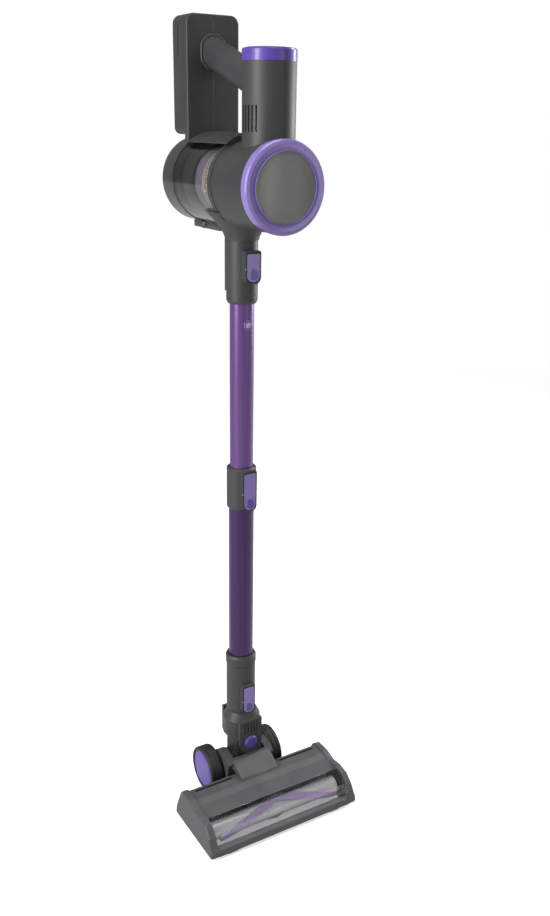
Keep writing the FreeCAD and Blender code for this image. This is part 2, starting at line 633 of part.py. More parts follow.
def make_brush(parts):
    """Brush roll with helical strips, its belt drive and motor."""
    core = rod(brush_r, brush_left_x, brush_y, brush_z, X_AXIS, brush_length)
    shaft_length = 2 * head_half_width + 4
    shaft = rod(brush_shaft_r, -shaft_length / 2, brush_y, brush_z, X_AXIS, shaft_length)
    pulley = rod(brush_pulley_r, brush_right_x - 1, brush_y, brush_z, X_AXIS, 7.5)
    parts["brush_roll"] = fuse(core, shaft, pulley)
    steps = 14
    span = strip_half_length
    strips = []
    for start in (0, 180):
        halves = []
        for side in (-1, 1):
            sections = []
            for k in range(steps + 1):
                share = k / steps
                corners = [(-2, brush_r - 0.5), (2, brush_r - 0.5), (1.4, bristle_r), (-1.4, bristle_r)]
                points = [V(0, y, z) for y, z in corners]
                section = Part.makePolygon(points + points[:1])
                section.rotate(V(0, 0, 0), X_AXIS, start + 110 * share)
                section.translate(V(side * span * share, brush_y, brush_z))
                sections.append(section)
            halves.append(Part.makeLoft(sections, True, False))
        strip = fuse(*halves).cut(rod(brush_r, -200, brush_y, brush_z, X_AXIS, 400))
        strips.append(strip)
    parts["brush_strips"] = Part.makeCompound(strips)

    motor = rod(13.5, 40, drive_y, drive_z, X_AXIS, 50)
    parts["brush_motor"] = motor.cut(rod(1.5 + pin_fit, 86, drive_y, drive_z, X_AXIS, 10))
    parts["motor_pulley"] = fuse(rod(drive_pulley_r, belt_x - 1.2, drive_y, drive_z, X_AXIS, 6.4),
                                 rod(1.5, 87, drive_y, drive_z, X_AXIS, belt_x - 87))
    outside = belt_loop(belt_thickness + gap)
    parts["drive_belt"] = outside.cut(belt_loop(gap))


def belt_loop(offset):
    """The solid region inside a belt run round both pulleys, grown by the offset."""
    big = rod(brush_pulley_r + offset, belt_x, brush_y, brush_z, X_AXIS, belt_width)
    small = rod(drive_pulley_r + offset, belt_x, drive_y, drive_z, X_AXIS, belt_width)
    run = math.hypot(drive_y - brush_y, drive_z - brush_z)
    tilt = math.atan2(drive_z - brush_z, drive_y - brush_y)
    lean = math.acos((brush_pulley_r - drive_pulley_r) / run)
    points = []
    for angle, radius, y, z in ((tilt + lean, brush_pulley_r, brush_y, brush_z),
                                (tilt + lean, drive_pulley_r, drive_y, drive_z),
                                (tilt - lean, drive_pulley_r, drive_y, drive_z),
                                (tilt - lean, brush_pulley_r, brush_y, brush_z)):
        reach = radius + offset
        points.append((y + reach * math.cos(angle), z + reach * math.sin(angle)))
    return fuse(plate_x(points, belt_x, belt_x + belt_width), big, small)


def make_wheels(parts):
    """Rear wheels: a tyre on each hub."""
    shoulder = [(0, hub_r), (0, wheel_r - 4), (0.6, wheel_r - 2), (2, wheel_r - 0.6), (4, wheel_r)]
    tread = [(wheel_width - run, radius) for run, radius in shoulder[::-1]]
    tyre = spin(shoulder + tread, wheel_inner_x, wheel_y, wheel_r, X_AXIS)
    hub = ring(hub_r - seat, axle_r + pin_fit, wheel_inner_x, wheel_y, wheel_r, X_AXIS, wheel_width - 3)
    web = rod(hub_r - seat, wheel_inner_x + wheel_width - 3, wheel_y, wheel_r, X_AXIS, 3)
    hub = fuse(hub, web)
    parts["tyre_right"] = tyre
    parts["tyre_left"] = mirror_x(tyre)
    parts["wheel_hub_right"] = hub
    parts["wheel_hub_left"] = mirror_x(hub)


def make_cradle(parts):
    """The cradle that carries the wheels and the pitch joint of the neck."""
    lug = fuse(rod(lug_r, lug_inner_x, pitch_y, pitch_z, X_AXIS, lug_width),
               plate_x([(-27.9, 10), (26, 10), (26, 34), (12, 56), (-12, 69), (-24, 67), (-34, 60),
                        (-31, 50.6), (-27.9, 25)], lug_inner_x, lug_outer_x, 1.0))
    base = block(-lug_outer_x, lug_outer_x, -27.9, 12, 10, pitch_z - barrel_r - 1.2)
    apron = plate_x([(-62, 50.7), (-60, 52.5), (-38, 63.5), (-33, 65.5), (-27, 66), (-27, 25), (-27.9, 25),
                     (-31, 50.7)], -apron_half_width, apron_half_width)
    cradle = fuse(lug, mirror_x(lug), base, apron)
    cradle = cradle.cut(rod(barrel_r + gap, -lug_inner_x, pitch_y, pitch_z, X_AXIS, 2 * lug_inner_x))
    cradle = cradle.cut(rod(6 + pin_fit, -60, pitch_y, pitch_z, X_AXIS, 120))
    cradle = cradle.cut(rod(axle_r, -60, wheel_y, wheel_r, X_AXIS, 120))
    parts["cradle"] = cradle
    axle = rod(axle_r, lug_outer_x - 9, wheel_y, wheel_r, X_AXIS,
               wheel_inner_x + wheel_width - 4 - lug_outer_x + 9)
    parts["wheel_axles"] = both_sides(axle)


def make_joint(parts):
    """The pitching neck block, the swivel pin and the yoke with the wand socket."""
    barrel = rod(barrel_r, -lug_inner_x + gap, pitch_y, pitch_z, X_AXIS, 2 * (lug_inner_x - gap))
    for k in range(8):
        x = -22.4 + 6.4 * k
        groove = ring(barrel_r + 1, barrel_r - 1.2, x - 1.3, pitch_y, pitch_z, X_AXIS, 2.6)
        barrel = barrel.cut(groove)
    trunnion = rod(6, -lug_outer_x, pitch_y, pitch_z, X_AXIS, 2 * lug_outer_x)
    upright = block(-hub_half_width, hub_half_width, -24, 10, pitch_z, swivel_z)
    hub = rod(swivel_hub_r, 0, -26, swivel_z, Y_AXIS, 46)
    neck = fuse(barrel, trunnion, upright, hub)
    screw_y, screw_z = -15, 74
    head = rod(4.2, -hub_half_width, screw_y, screw_z, X_AXIS, 2)
    shank = rod(1.8, -hub_half_width + 1, screw_y, screw_z, X_AXIS, 8)
    slot = block(-hub_half_width - 1, -hub_half_width + 0.7, screw_y - 0.5, screw_y + 0.5,
                 screw_z - 3, screw_z + 3)
    cross = block(-hub_half_width - 1, -hub_half_width + 0.7, screw_y - 3, screw_y + 3,
                  screw_z - 0.5, screw_z + 0.5)
    neck = neck.cut(both_sides(fuse(head, shank)))
    neck = neck.cut(rod(swivel_pin_r, 0, -40, swivel_z, Y_AXIS, 80))
    parts["neck_screws"] = both_sides(fuse(head, shank).cut(slot).cut(cross))
    parts["neck_block"] = neck
    parts["swivel_pin"] = rod(swivel_pin_r, 0, -31, swivel_z, Y_AXIS, 54)

    front_y, rear_y = -26 - gap, 20 + gap
    rise = collar_bottom - yoke_bottom
    hood = spin([(0, 0), (0, yoke_r - 0.5), (0.5, yoke_r), (27, yoke_r), (rise, collar_r), (rise, 0)],
                0, -3, yoke_bottom, Z_AXIS)
    front_cheek = fuse(rod(18.5, 0, -32, swivel_z, Y_AXIS, 32 + front_y),
                       block(-18.5, 18.5, -32, front_y, swivel_z, collar_bottom - 8))
    rear_cheek = fuse(rod(18.5, 0, rear_y, swivel_z, Y_AXIS, 5),
                      block(-18.5, 18.5, rear_y, rear_y + 5, swivel_z, collar_bottom - 8))
    yoke = fuse(hood, front_cheek, rear_cheek)
    yoke = yoke.cut(rod(swivel_hub_r + 1.5, 0, front_y, swivel_z, Y_AXIS, rear_y - front_y))
    yoke = yoke.cut(block(-60, 60, front_y, rear_y, 40, yoke_bottom + 4))
    yoke = yoke.cut(rod(swivel_pin_r + pin_fit, 0, -31.2, swivel_z, Y_AXIS, 54.4))
    yoke = yoke.cut(rod(11, 0, -32.5, swivel_z, Y_AXIS, 1.5))
    for k in range(5):
        x = -10 + 5 * k
        yoke = yoke.cut(block(x - 1.1, x + 1.1, -40, -30.8, swivel_z + 16, collar_bottom - 12))
    yoke = yoke.cut(rod(12, 0, 0, swivel_z + 19, Z_AXIS, 60))
    parts["yoke"] = yoke
    parts["swivel_cap"] = spin([(0, 0), (0, 7.5), (0.8, 9.6), (2.2, 10.6), (3.5, 10.6), (3.5, 0)],
                               0, -34.6, swivel_z, Y_AXIS)

    bore_r = lower_tube_r + slide_fit
    height = collar_top - collar_bottom
    collar = spin([(0, 0), (0, collar_r), (height - 10, collar_r), (height - 7, collar_r + 0.9),
                   (height + 4, collar_r + 0.9), (height + 7, collar_r - 1.0), (height + 7, 0)],
                  0, 0, collar_bottom, Z_AXIS)
    collar = fuse(collar, rocker_boss(collar_rocker))
    collar = collar.cut(block(-60, 60, -60, 60, 0, collar_bottom))
    collar = collar.cut(rod(bore_r, 0, 0, lower_tube_bottom - gap, Z_AXIS, 200))
    collar = collar.cut(rod(14.5, 0, 0, collar_bottom - 1, Z_AXIS, 200))
    parts["wand_socket"] = collar.cut(rocker_pocket(collar_rocker, bore_r))
    parts["socket_button"] = rocker_button(collar_rocker, bore_r)


def main():
    os.makedirs("parts", exist_ok=True)
    parts = {}
    for make in (make_wand, make_neck, make_housing, make_tower, make_handle, make_battery,
                 make_cup, make_filter, make_head, make_brush, make_wheels, make_cradle,
                 make_joint):
        make(parts)
    for name, shape in sorted(parts.items()):
        shape.translate(V(0, -middle_y, 0))
        if not shape.isValid():
            print("invalid", name)
        shape.exportStep("parts/" + name + ".step")
        print(name, len(shape.Solids), "solids", round(shape.Volume / 1000, 2), "cm3")


main()
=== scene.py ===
"""Finishes, fine pieces and studio for a cordless stick vacuum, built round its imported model."""
import math

import bmesh
import bpy
import numpy as np
from mathutils import Matrix, Vector


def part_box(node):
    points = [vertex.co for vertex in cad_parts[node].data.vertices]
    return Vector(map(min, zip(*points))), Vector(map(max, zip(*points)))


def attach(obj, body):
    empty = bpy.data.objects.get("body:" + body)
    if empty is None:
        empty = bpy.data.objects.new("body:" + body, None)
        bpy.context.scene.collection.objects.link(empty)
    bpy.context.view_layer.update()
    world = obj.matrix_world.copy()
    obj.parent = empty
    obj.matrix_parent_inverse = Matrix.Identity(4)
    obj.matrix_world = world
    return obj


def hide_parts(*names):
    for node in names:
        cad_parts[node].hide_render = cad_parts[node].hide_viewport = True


bl_info = {
    "name": "Cordless stick vacuum looks",
    "version": (1, 0, 0),
    "blender": (4, 5, 0),
    "location": "View3D > Sidebar > Vacuum",
    "description": "Finishes, fine pieces and studio for a cordless stick vacuum",
    "category": "Object",
}

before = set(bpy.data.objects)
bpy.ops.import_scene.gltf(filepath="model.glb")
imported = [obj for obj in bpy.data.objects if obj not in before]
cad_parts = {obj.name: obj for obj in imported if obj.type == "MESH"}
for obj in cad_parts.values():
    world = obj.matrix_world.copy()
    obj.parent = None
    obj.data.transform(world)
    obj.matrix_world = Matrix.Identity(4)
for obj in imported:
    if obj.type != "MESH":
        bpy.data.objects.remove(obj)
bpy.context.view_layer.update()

MM = 0.001
FULL_TURN = 2 * math.pi
SHARP_ANGLE = math.radians(38)
SEAM_WIDTH = 2e-6               # points nearer than this are one point, in metres


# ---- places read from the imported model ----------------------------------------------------
def corners(node):
    """The lowest and highest corner of a node, as arrays."""
    low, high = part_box(node)
    return np.array(low), np.array(high)


def middle(node):
    """The middle of a node's box, as an array."""
    low, high = corners(node)
    return (low + high) / 2


# ---- surfaces -----------------------------------------------------------------------------
def grid_quads(rows, columns, closed_rows=False):
    """Quads between neighbouring points of a grid whose columns close on themselves."""
    r = np.arange(rows if closed_rows else rows - 1)
    r0, c0 = np.meshgrid(r, np.arange(columns), indexing="ij")
    r1, c1 = (r0 + 1) % rows, (c0 + 1) % columns
    quads = [r0 * columns + c0, r0 * columns + c1, r1 * columns + c1, r1 * columns + c0]
    return np.stack(quads, axis=-1).reshape(-1, 4)


def rounded(outline, radius, steps=5):
    """A closed outline whose corners c become curves between a and b, points on both sides of c:
    p(t) = (1 - t)^2 a + 2 t (1 - t) c + t^2 b, for t from 0 to 1."""
    c = np.asarray(outline, float)
    reach = np.broadcast_to(np.asarray(radius, float), len(c))[:, None]

    def toward(other):
        step = other - c
        length = np.linalg.norm(step, axis=1, keepdims=True)
        return c + step / length * np.minimum(reach, 0.49 * length)

    a, b = toward(np.roll(c, 1, 0)), toward(np.roll(c, -1, 0))
    t = np.linspace(0, 1, steps)[None, :, None]
    curve = (1 - t) ** 2 * a[:, None] + 2 * t * (1 - t) * c[:, None] + t ** 2 * b[:, None]
    return curve.reshape(-1, 2)


def turned(profile, centre, axis, steps=160, closed=True, ripple=None):
    """A turned surface from (distance, radius) points along the axis:
    p(s, t) = centre + a(s) axis + (r(s) + ripple(s, t)) (cos t u + sin t v)."""
    profile = np.asarray(profile, float)
    along = np.eye(3)[axis]
    u, v = np.eye(3)[(axis + 1) % 3], np.eye(3)[(axis + 2) % 3]
    t = np.linspace(0, FULL_TURN, steps, endpoint=False)
    radius = np.repeat(profile[:, 1:2], steps, axis=1)
    if ripple is not None:
        radius = radius + ripple(profile, t)
    round_part = radius[..., None] * (np.cos(t)[:, None] * u + np.sin(t)[:, None] * v)
    points = np.asarray(centre) + profile[:, None, 0:1] * along + round_part
    return points.reshape(-1, 3), grid_quads(len(profile), steps, closed_rows=closed)


def tube_along(path, radius):
    """A thin round bead along a closed path: p(s, t) = path(s) + radius (cos t n(s) + sin t b(s)),
    with n and b square to the path's direction."""
    sides = 8
    direction = np.roll(path, -1, 0) - np.roll(path, 1, 0)
    direction /= np.linalg.norm(direction, axis=1, keepdims=True)
    spread = np.abs(direction).max(axis=0)
    helper = np.eye(3)[int(np.argmin(spread))]
    n = np.cross(direction, helper)
    n /= np.linalg.norm(n, axis=1, keepdims=True)
    b = np.cross(direction, n)
    t = np.linspace(0, FULL_TURN, sides, endpoint=False)[None, :, None]
    points = path[:, None] + radius * (np.cos(t) * n[:, None] + np.sin(t) * b[:, None])
    return points.reshape(-1, 3), grid_quads(len(path), sides, closed_rows=True)


def carried(outline, stations, axis):
    """An outline carried along an axis: p(s, t) = d(s) axis + outline(t) pulled in by i(s) along its
    own normals, with (d, i) the stations.  Both ends are closed by drawing them to their middle."""
    outline = np.asarray(outline, float)
    step = np.roll(outline, -1, 0) - np.roll(outline, 1, 0)
    normal = np.stack([step[:, 1], -step[:, 0]], axis=1)
    normal /= np.linalg.norm(normal, axis=1, keepdims=True)
    area = 0.5 * np.sum(outline[:, 0] * np.roll(outline[:, 1], -1)
                        - outline[:, 1] * np.roll(outline[:, 0], -1))
    normal *= np.sign(area)
    stations = np.asarray(stations, float)
    rows = outline[None] - stations[:, 1, None, None] * normal[None]
    heart = outline.mean(axis=0)
    rows = np.concatenate([np.broadcast_to(heart, rows[:1].shape), rows,
                           np.broadcast_to(heart, rows[:1].shape)])
    distance = np.concatenate([stations[:1, 0], stations[:, 0], stations[-1:, 0]])
    points = np.zeros(rows.shape[:2] + (3,))
    others = [k for k in range(3) if k != axis]
    points[..., axis] = distance[:, None]
    points[..., others[0]] = rows[..., 0]
    points[..., others[1]] = rows[..., 1]
    return points.reshape(-1, 3), grid_quads(len(rows), len(outline))


def scattered(shape_points, shape_faces, places, turns):
    """Many copies of a small shape: p = place + turn shape, for every place and 3 x 3 turn at once."""
    count = len(shape_points)
    points = np.einsum("nij,pj->npi", turns, shape_points) + places[:, None]
    offsets = np.arange(len(places))[:, None, None] * count
    faces = shape_faces[None] + offsets
    return points.reshape(-1, 3), faces.reshape(-1, shape_faces.shape[1])


def joined(*surfaces):
    """Several (points, faces) surfaces as one."""
    points, faces, start = [], [], 0
    for part_points, part_faces in surfaces:
        points.append(part_points)
        faces.append(part_faces + start)
        start += len(part_points)
    return np.concatenate(points), np.concatenate(faces)


def add_piece(name, surface, body, material, replaced=(), sharp=SHARP_ANGLE):
    """Makes the mesh, closes its seams and poles, and lets it ride on a body."""
    points, faces = surface
    mesh = bpy.data.meshes.new(name)
    mesh.from_pydata(points.tolist(), [], faces.tolist())
    work = bmesh.new()
    work.from_mesh(mesh)
    bmesh.ops.remove_doubles(work, verts=work.verts, dist=SEAM_WIDTH)
    bmesh.ops.dissolve_degenerate(work, edges=work.edges, dist=SEAM_WIDTH / 20)
    bmesh.ops.recalc_face_normals(work, faces=work.faces)
    work.to_mesh(mesh)
    work.free()
    mesh.shade_smooth()
    mesh.set_sharp_from_angle(angle=sharp)
    mesh.materials.append(material)
    piece = bpy.data.objects.new(name, mesh)
    bpy.context.scene.collection.objects.link(piece)
    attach(piece, body)
    if replaced:
        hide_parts(*replaced)
    return piece


# ---- shader building ----------------------------------------------------------------------
def add_node(tree, kind, settings=None, **values):
    """A shader node with its settings and the values of its input sockets."""
    node = tree.nodes.new(kind)
    for key, value in (settings or {}).items():
        setattr(node, key, value)
    for key, value in values.items():
        node.inputs[key.replace("_", " ")].default_value = value
    return node


def wire(tree, *pairs):
    """Joins sockets, given as (source, target) pairs."""
    for source, target in pairs:
        tree.links.new(source, target)


def new_group(name, inputs, outputs):
    """An empty shader node group with float inputs and outputs."""
    tree = bpy.data.node_groups.new(name, "ShaderNodeTree")
    for label, value in inputs.items():
        socket = tree.interface.new_socket(label, in_out="INPUT", socket_type="NodeSocketFloat")
        socket.default_value = value
    for label in outputs:
        tree.interface.new_socket(label, in_out="OUTPUT", socket_type="NodeSocketFloat")
    return tree, tree.nodes.new("NodeGroupInput"), tree.nodes.new("NodeGroupOutput")


def math_node(tree, operation, first, second, clamp=False):
    """A Math node whose two inputs are sockets or numbers; gives back its output."""
    node = add_node(tree, "ShaderNodeMath", {"operation": operation, "use_clamp": clamp})
    for socket, value in zip(node.inputs, (first, second)):
        if isinstance(value, (int, float)):
            socket.default_value = value
        else:
            tree.links.new(value, socket)
    return node.outputs[0]


def spread_node(tree, value, low, high, out_low=0.0, out_high=1.0):
    """A Map Range node over a socket; gives back its output."""
    node = add_node(tree, "ShaderNodeMapRange", From_Min=low, From_Max=high, To_Min=out_low,
                    To_Max=out_high)
    tree.links.new(value, node.inputs["Value"])
    return node.outputs["Result"]


def build_grain_group():
    """Moulded grain: fine leather-like cells and a soft drift of tone, on object coordinates."""
    tree, given, result = new_group("Moulded grain", {"Scale": 1500.0, "Cells": 0.5},
                                    ("Height", "Drift"))
    place = tree.nodes.new("ShaderNodeTexCoord").outputs["Object"]
    fine = add_node(tree, "ShaderNodeTexNoise", Detail=3.0, Roughness=0.6)
    cells = add_node(tree, "ShaderNodeTexVoronoi", {"feature": "SMOOTH_F1"}, Smoothness=0.4)
    drift = add_node(tree, "ShaderNodeTexNoise", Scale=14.0, Detail=2.0)
    wire(tree, (place, fine.inputs["Vector"]), (place, cells.inputs["Vector"]),
         (place, drift.inputs["Vector"]), (given.outputs["Scale"], fine.inputs["Scale"]),
         (given.outputs["Scale"], cells.inputs["Scale"]))
    cell_part = math_node(tree, "MULTIPLY", cells.outputs["Distance"], given.outputs["Cells"])
    height = math_node(tree, "ADD", fine.outputs[0], cell_part)
    wire(tree, (height, result.inputs["Height"]), (drift.outputs[0], result.inputs["Drift"]))
    return tree


def build_wear_and_highlight_group():
    """Rubbed and painted-highlight edges: a mask strong where the rounded normal leaves the face
    normal, broken up by noise.
    """
    tree, given, result = new_group("Edge wear", {"Width": 0.0006, "Amount": 0.5}, ("Mask",))
    bevel = add_node(tree, "ShaderNodeBevel", {"samples": 4})
    face = tree.nodes.new("ShaderNodeNewGeometry")
    place = tree.nodes.new("ShaderNodeTexCoord").outputs["Object"]
    rub = add_node(tree, "ShaderNodeTexNoise", Scale=90.0, Detail=4.0)
    likeness = add_node(tree, "ShaderNodeVectorMath", {"operation": "DOT_PRODUCT"})
    wire(tree, (given.outputs["Width"], bevel.inputs["Radius"]),
         (bevel.outputs["Normal"], likeness.inputs[0]), (face.outputs["Normal"], likeness.inputs[1]),
         (place, rub.inputs["Vector"]))
    edge = spread_node(tree, likeness.outputs["Value"], 0.995, 0.82)
    broken = spread_node(tree, rub.outputs[0], 0.35, 0.6, 0.35, 1.0)
    mask = math_node(tree, "MULTIPLY", edge, broken)
    wire(tree, (math_node(tree, "MULTIPLY", mask, given.outputs["Amount"], clamp=True),
                result.inputs["Mask"]))
    return tree


def build_dust_group():
    """Dust: a thin film on faces that look up, in soft patches with a few specks."""
    tree, given, result = new_group("Settled dust", {"Amount": 0.1}, ("Mask",))
    face = tree.nodes.new("ShaderNodeNewGeometry")
    place = tree.nodes.new("ShaderNodeTexCoord").outputs["Object"]
    split = tree.nodes.new("ShaderNodeSeparateXYZ")
    patch = add_node(tree, "ShaderNodeTexNoise", Scale=35.0, Detail=6.0)
    wire(tree, (face.outputs["Normal"], split.inputs[0]), (place, patch.inputs["Vector"]))
    upward = spread_node(tree, split.outputs["Z"], 0.3, 1.0)
    film = spread_node(tree, patch.outputs[0], 0.4, 0.75)
    mask = math_node(tree, "MULTIPLY", upward, film)
    wire(tree, (math_node(tree, "MULTIPLY", mask, given.outputs["Amount"], clamp=True),
                result.inputs["Mask"]))
    return tree


def build_streak_group():
    """Drawn metal: hair-fine streaks, stretched by the three given scales."""
    tree, given, result = new_group("Drawn streaks", {"X": 400.0, "Y": 400.0, "Z": 4.0},
                                    ("Height", "Tone"))
    place = tree.nodes.new("ShaderNodeTexCoord").outputs["Object"]
    scale = tree.nodes.new("ShaderNodeCombineXYZ")
    stretch = add_node(tree, "ShaderNodeVectorMath", {"operation": "MULTIPLY"})
    fine = add_node(tree, "ShaderNodeTexNoise", Scale=6.0, Detail=4.0)
    broad = add_node(tree, "ShaderNodeTexNoise", Scale=0.7, Detail=2.0)
    wire(tree, (given.outputs["X"], scale.inputs[0]), (given.outputs["Y"], scale.inputs[1]),
         (given.outputs["Z"], scale.inputs[2]), (place, stretch.inputs[0]),
         (scale.outputs[0], stretch.inputs[1]), (stretch.outputs[0], fine.inputs["Vector"]),
         (stretch.outputs[0], broad.inputs["Vector"]), (fine.outputs[0], result.inputs["Height"]),
         (broad.outputs[0], result.inputs["Tone"]))
    return tree


GROUPS = {"grain": build_grain_group(), "wear_and_highlight": build_wear_and_highlight_group(), "dust": build_dust_group(),
          "streaks": build_streak_group()}


def use_group(tree, key, **values):
    """Places one of the shared groups in a material with its own values."""
    node = tree.nodes.new("ShaderNodeGroup")
    node.node_tree = GROUPS[key]
    for label, value in values.items():
        node.inputs[label].default_value = value
    return node


def mix_colour(tree, mask, first, second):
    """A colour mix by a mask; the colours are sockets or (r, g, b) values."""
    node = add_node(tree, "ShaderNodeMix", {"data_type": "RGBA"})
    tree.links.new(mask, node.inputs[0])
    for socket, value in ((node.inputs[6], first), (node.inputs[7], second)):
        if isinstance(value, tuple):
            socket.default_value = value[:3] + (1.0,)
        else:
            tree.links.new(value, socket)
    return node.outputs[2]


def shaded(colour, factor):
    """A colour made lighter or darker."""
    return tuple(min(1.0, channel * factor) for channel in colour[:3])


def start_material(name, **values):
    """A material with its Principled shader's own sockets set."""
    material = bpy.data.materials.new(name)
    material.use_nodes = True
    tree = material.node_tree
    shader = tree.nodes["Principled BSDF"]
    for key, value in values.items():
        shader.inputs[key.replace("_", " ")].default_value = value
    return material, tree, shader


def plastic(name, colour, rough=0.45, grain=1500.0, depth=0.00006, cells=0.5, wear_and_highlight=0.3,
            dust=0.06, coat=0.0, coat_rough=0.1, seam_shadow_x=None, pad=None):
    """Moulded plastic: grain in the bump, drift in tone and gloss, edges lightened partly as rubbed
    plastic and partly as a painted highlight, and a little dust.
    The seam line's x, if given, gets painted shade along a fine parting-line groove there; pad is
    (x, z, half width, half height, colour)."""
    material, tree, shader = start_material(name, Coat_Weight=coat, Coat_Roughness=coat_rough)
    base = tuple(colour[:3])
    moulded = use_group(tree, "grain", Scale=grain, Cells=cells)
    worn_and_lit = use_group(tree, "wear_and_highlight", Amount=wear_and_highlight)
    dusty = use_group(tree, "dust", Amount=dust)
    drift = moulded.outputs["Drift"]
    tone = mix_colour(tree, spread_node(tree, drift, 0.3, 0.7), shaded(base, 0.9), shaded(base, 1.1))
    place = tree.nodes.new("ShaderNodeTexCoord").outputs["Object"]
    split = tree.nodes.new("ShaderNodeSeparateXYZ")
    wire(tree, (place, split.inputs[0]))
    if pad is not None:
        pad_x, pad_z, half_width, half_height, pad_colour = pad
        across = math_node(tree, "DIVIDE", math_node(tree, "SUBTRACT", split.outputs["X"], pad_x),
                           half_width)
        up = math_node(tree, "DIVIDE", math_node(tree, "SUBTRACT", split.outputs["Z"], pad_z),
                       half_height)
        reach = math_node(tree, "ADD", math_node(tree, "POWER", across, 2.0),
                          math_node(tree, "POWER", up, 2.0))
        inside = spread_node(tree, reach, 1.15, 0.85)
        tone = mix_colour(tree, inside, tone, tuple(pad_colour[:3]))
    # Painted highlight, partly rubbed edges: the edge mask lightens the tone to 1.9 times the base.
    tone = mix_colour(tree, worn_and_lit.outputs["Mask"], tone, shaded(base, 1.9))
    tone = mix_colour(tree, dusty.outputs["Mask"], tone, (0.55, 0.53, 0.5))
    rough_socket = spread_node(tree, drift, 0.3, 0.7, rough - 0.04, rough + 0.05)
    rough_socket = math_node(tree, "SUBTRACT", rough_socket,
                             math_node(tree, "MULTIPLY", worn_and_lit.outputs["Mask"], 0.12), clamp=True)
    height = moulded.outputs["Height"]
    # Painted shade: a fine parting-line groove, darkened to a quarter of the base colour along the seam.
    if seam_shadow_x is not None:
        off = math_node(tree, "ABSOLUTE", math_node(tree, "SUBTRACT", split.outputs["X"], seam_shadow_x), 0.0)
        line = spread_node(tree, off, 0.00035, 0.00012)
        tone = mix_colour(tree, line, tone, shaded(base, 0.25))
        height = math_node(tree, "SUBTRACT", height, math_node(tree, "MULTIPLY", line, 3.0))
    bump = add_node(tree, "ShaderNodeBump", Distance=depth, Strength=0.8)
    wire(tree, (tone, shader.inputs["Base Color"]), (rough_socket, shader.inputs["Roughness"]),
         (height, bump.inputs["Height"]), (bump.outputs[0], shader.inputs["Normal"]))
    return material


def drawn_metal(name, colour, rough, metallic, scales, coat=0.0):
    """Metal with drawn or turned streaks in its tone and bump, and edges lightened partly as rubbed
    metal and partly as a painted highlight.
    """
    material, tree, shader = start_material(name, Metallic=metallic, Coat_Weight=coat,
                                            Coat_Roughness=0.25, Anisotropic=0.3)
    base = tuple(colour[:3])
    streaks = use_group(tree, "streaks", X=scales[0], Y=scales[1], Z=scales[2])
    worn_and_lit = use_group(tree, "wear_and_highlight", Width=0.0004, Amount=0.5)
    tone = mix_colour(tree, spread_node(tree, streaks.outputs["Tone"], 0.3, 0.7),
                      shaded(base, 0.88), shaded(base, 1.12))
    # Painted highlight, partly rubbed edges: the edge mask lightens the tone to 1.8 times the base.
    tone = mix_colour(tree, worn_and_lit.outputs["Mask"], tone, shaded(base, 1.8))
    rough_socket = spread_node(tree, streaks.outputs["Height"], 0.3, 0.7, rough - 0.05, rough + 0.06)
    bump = add_node(tree, "ShaderNodeBump", Distance=0.00001, Strength=0.7)
    wire(tree, (tone, shader.inputs["Base Color"]), (rough_socket, shader.inputs["Roughness"]),
         (streaks.outputs["Height"], bump.inputs["Height"]),
         (bump.outputs[0], shader.inputs["Normal"]))
    return material


def clear_plastic(name, colour, rough=0.04):
    """Clear moulded polycarbonate with faint smudges in its gloss."""
    material, tree, shader = start_material(name, Transmission_Weight=1.0, IOR=1.46)
    moulded = use_group(tree, "grain", Scale=60.0, Cells=0.0)
    smudge = spread_node(tree, moulded.outputs["Height"], 0.45, 0.75, rough, rough + 0.07)
    tone = mix_colour(tree, moulded.outputs["Drift"], shaded(colour, 0.97), tuple(colour[:3]))
    wire(tree, (smudge, shader.inputs["Roughness"]), (tone, shader.inputs["Base Color"]))
    return material


def soft_fibre(name, colour, scales, rough=0.9, sheen=0.4):
    """Fibres: fine streaked tone and bump with a soft sheen."""
    material, tree, shader = start_material(name, Sheen_Weight=sheen, Sheen_Roughness=0.5,
                                            Roughness=rough)
    base = tuple(colour[:3])
    fibres = use_group(tree, "streaks", X=scales[0], Y=scales[1], Z=scales[2])
    tone = mix_colour(tree, spread_node(tree, fibres.outputs["Height"], 0.25, 0.75),
                      shaded(base, 0.6), shaded(base, 1.3))
    bump = add_node(tree, "ShaderNodeBump", Distance=0.0002, Strength=0.6)
    wire(tree, (tone, shader.inputs["Base Color"]), (fibres.outputs["Height"], bump.inputs["Height"]),
         (bump.outputs[0], shader.inputs["Normal"]))
    return material


# ---- what a user may change ---------------------------------------------------------------
def colour_property(name, description, default):
    """A colour setting."""
    return bpy.props.FloatVectorProperty(name=name, description=description, default=default,
                                         subtype="COLOR", size=3, min=0.0, max=1.0)


def length_property(name, description, default):
    """A length setting, in metres."""
    return bpy.props.FloatProperty(name=name, description=description, default=default,
                                   unit="LENGTH", min=0.0)


class VacuumColours(bpy.types.PropertyGroup):
    """Base colours of the finishes."""

    housing: colour_property("Housing", "Charcoal of the housing and the handle", (0.045, 0.046, 0.048))
    head: colour_property("Floor head", "Grey of the floor head", (0.085, 0.086, 0.09))
    accent: colour_property("Accent", "Violet of the rings, caps and buttons", (0.115, 0.06, 0.4))
    accent_light: colour_property("Light accent", "Violet of the ring and the buttons",
                                  (0.3, 0.215, 0.6))
    upper_tube: colour_property("Upper tube", "Violet of the upper tube", (0.15, 0.07, 0.25))
    lower_tube: colour_property("Lower tube", "Darker violet of the lower tube", (0.048, 0.016, 0.1))
    bristle: colour_property("Bristles", "Lilac of the tufts", (0.6, 0.48, 0.76))
    filter_media: colour_property("Filter", "Beige of the pleated filter", (0.55, 0.5, 0.42))


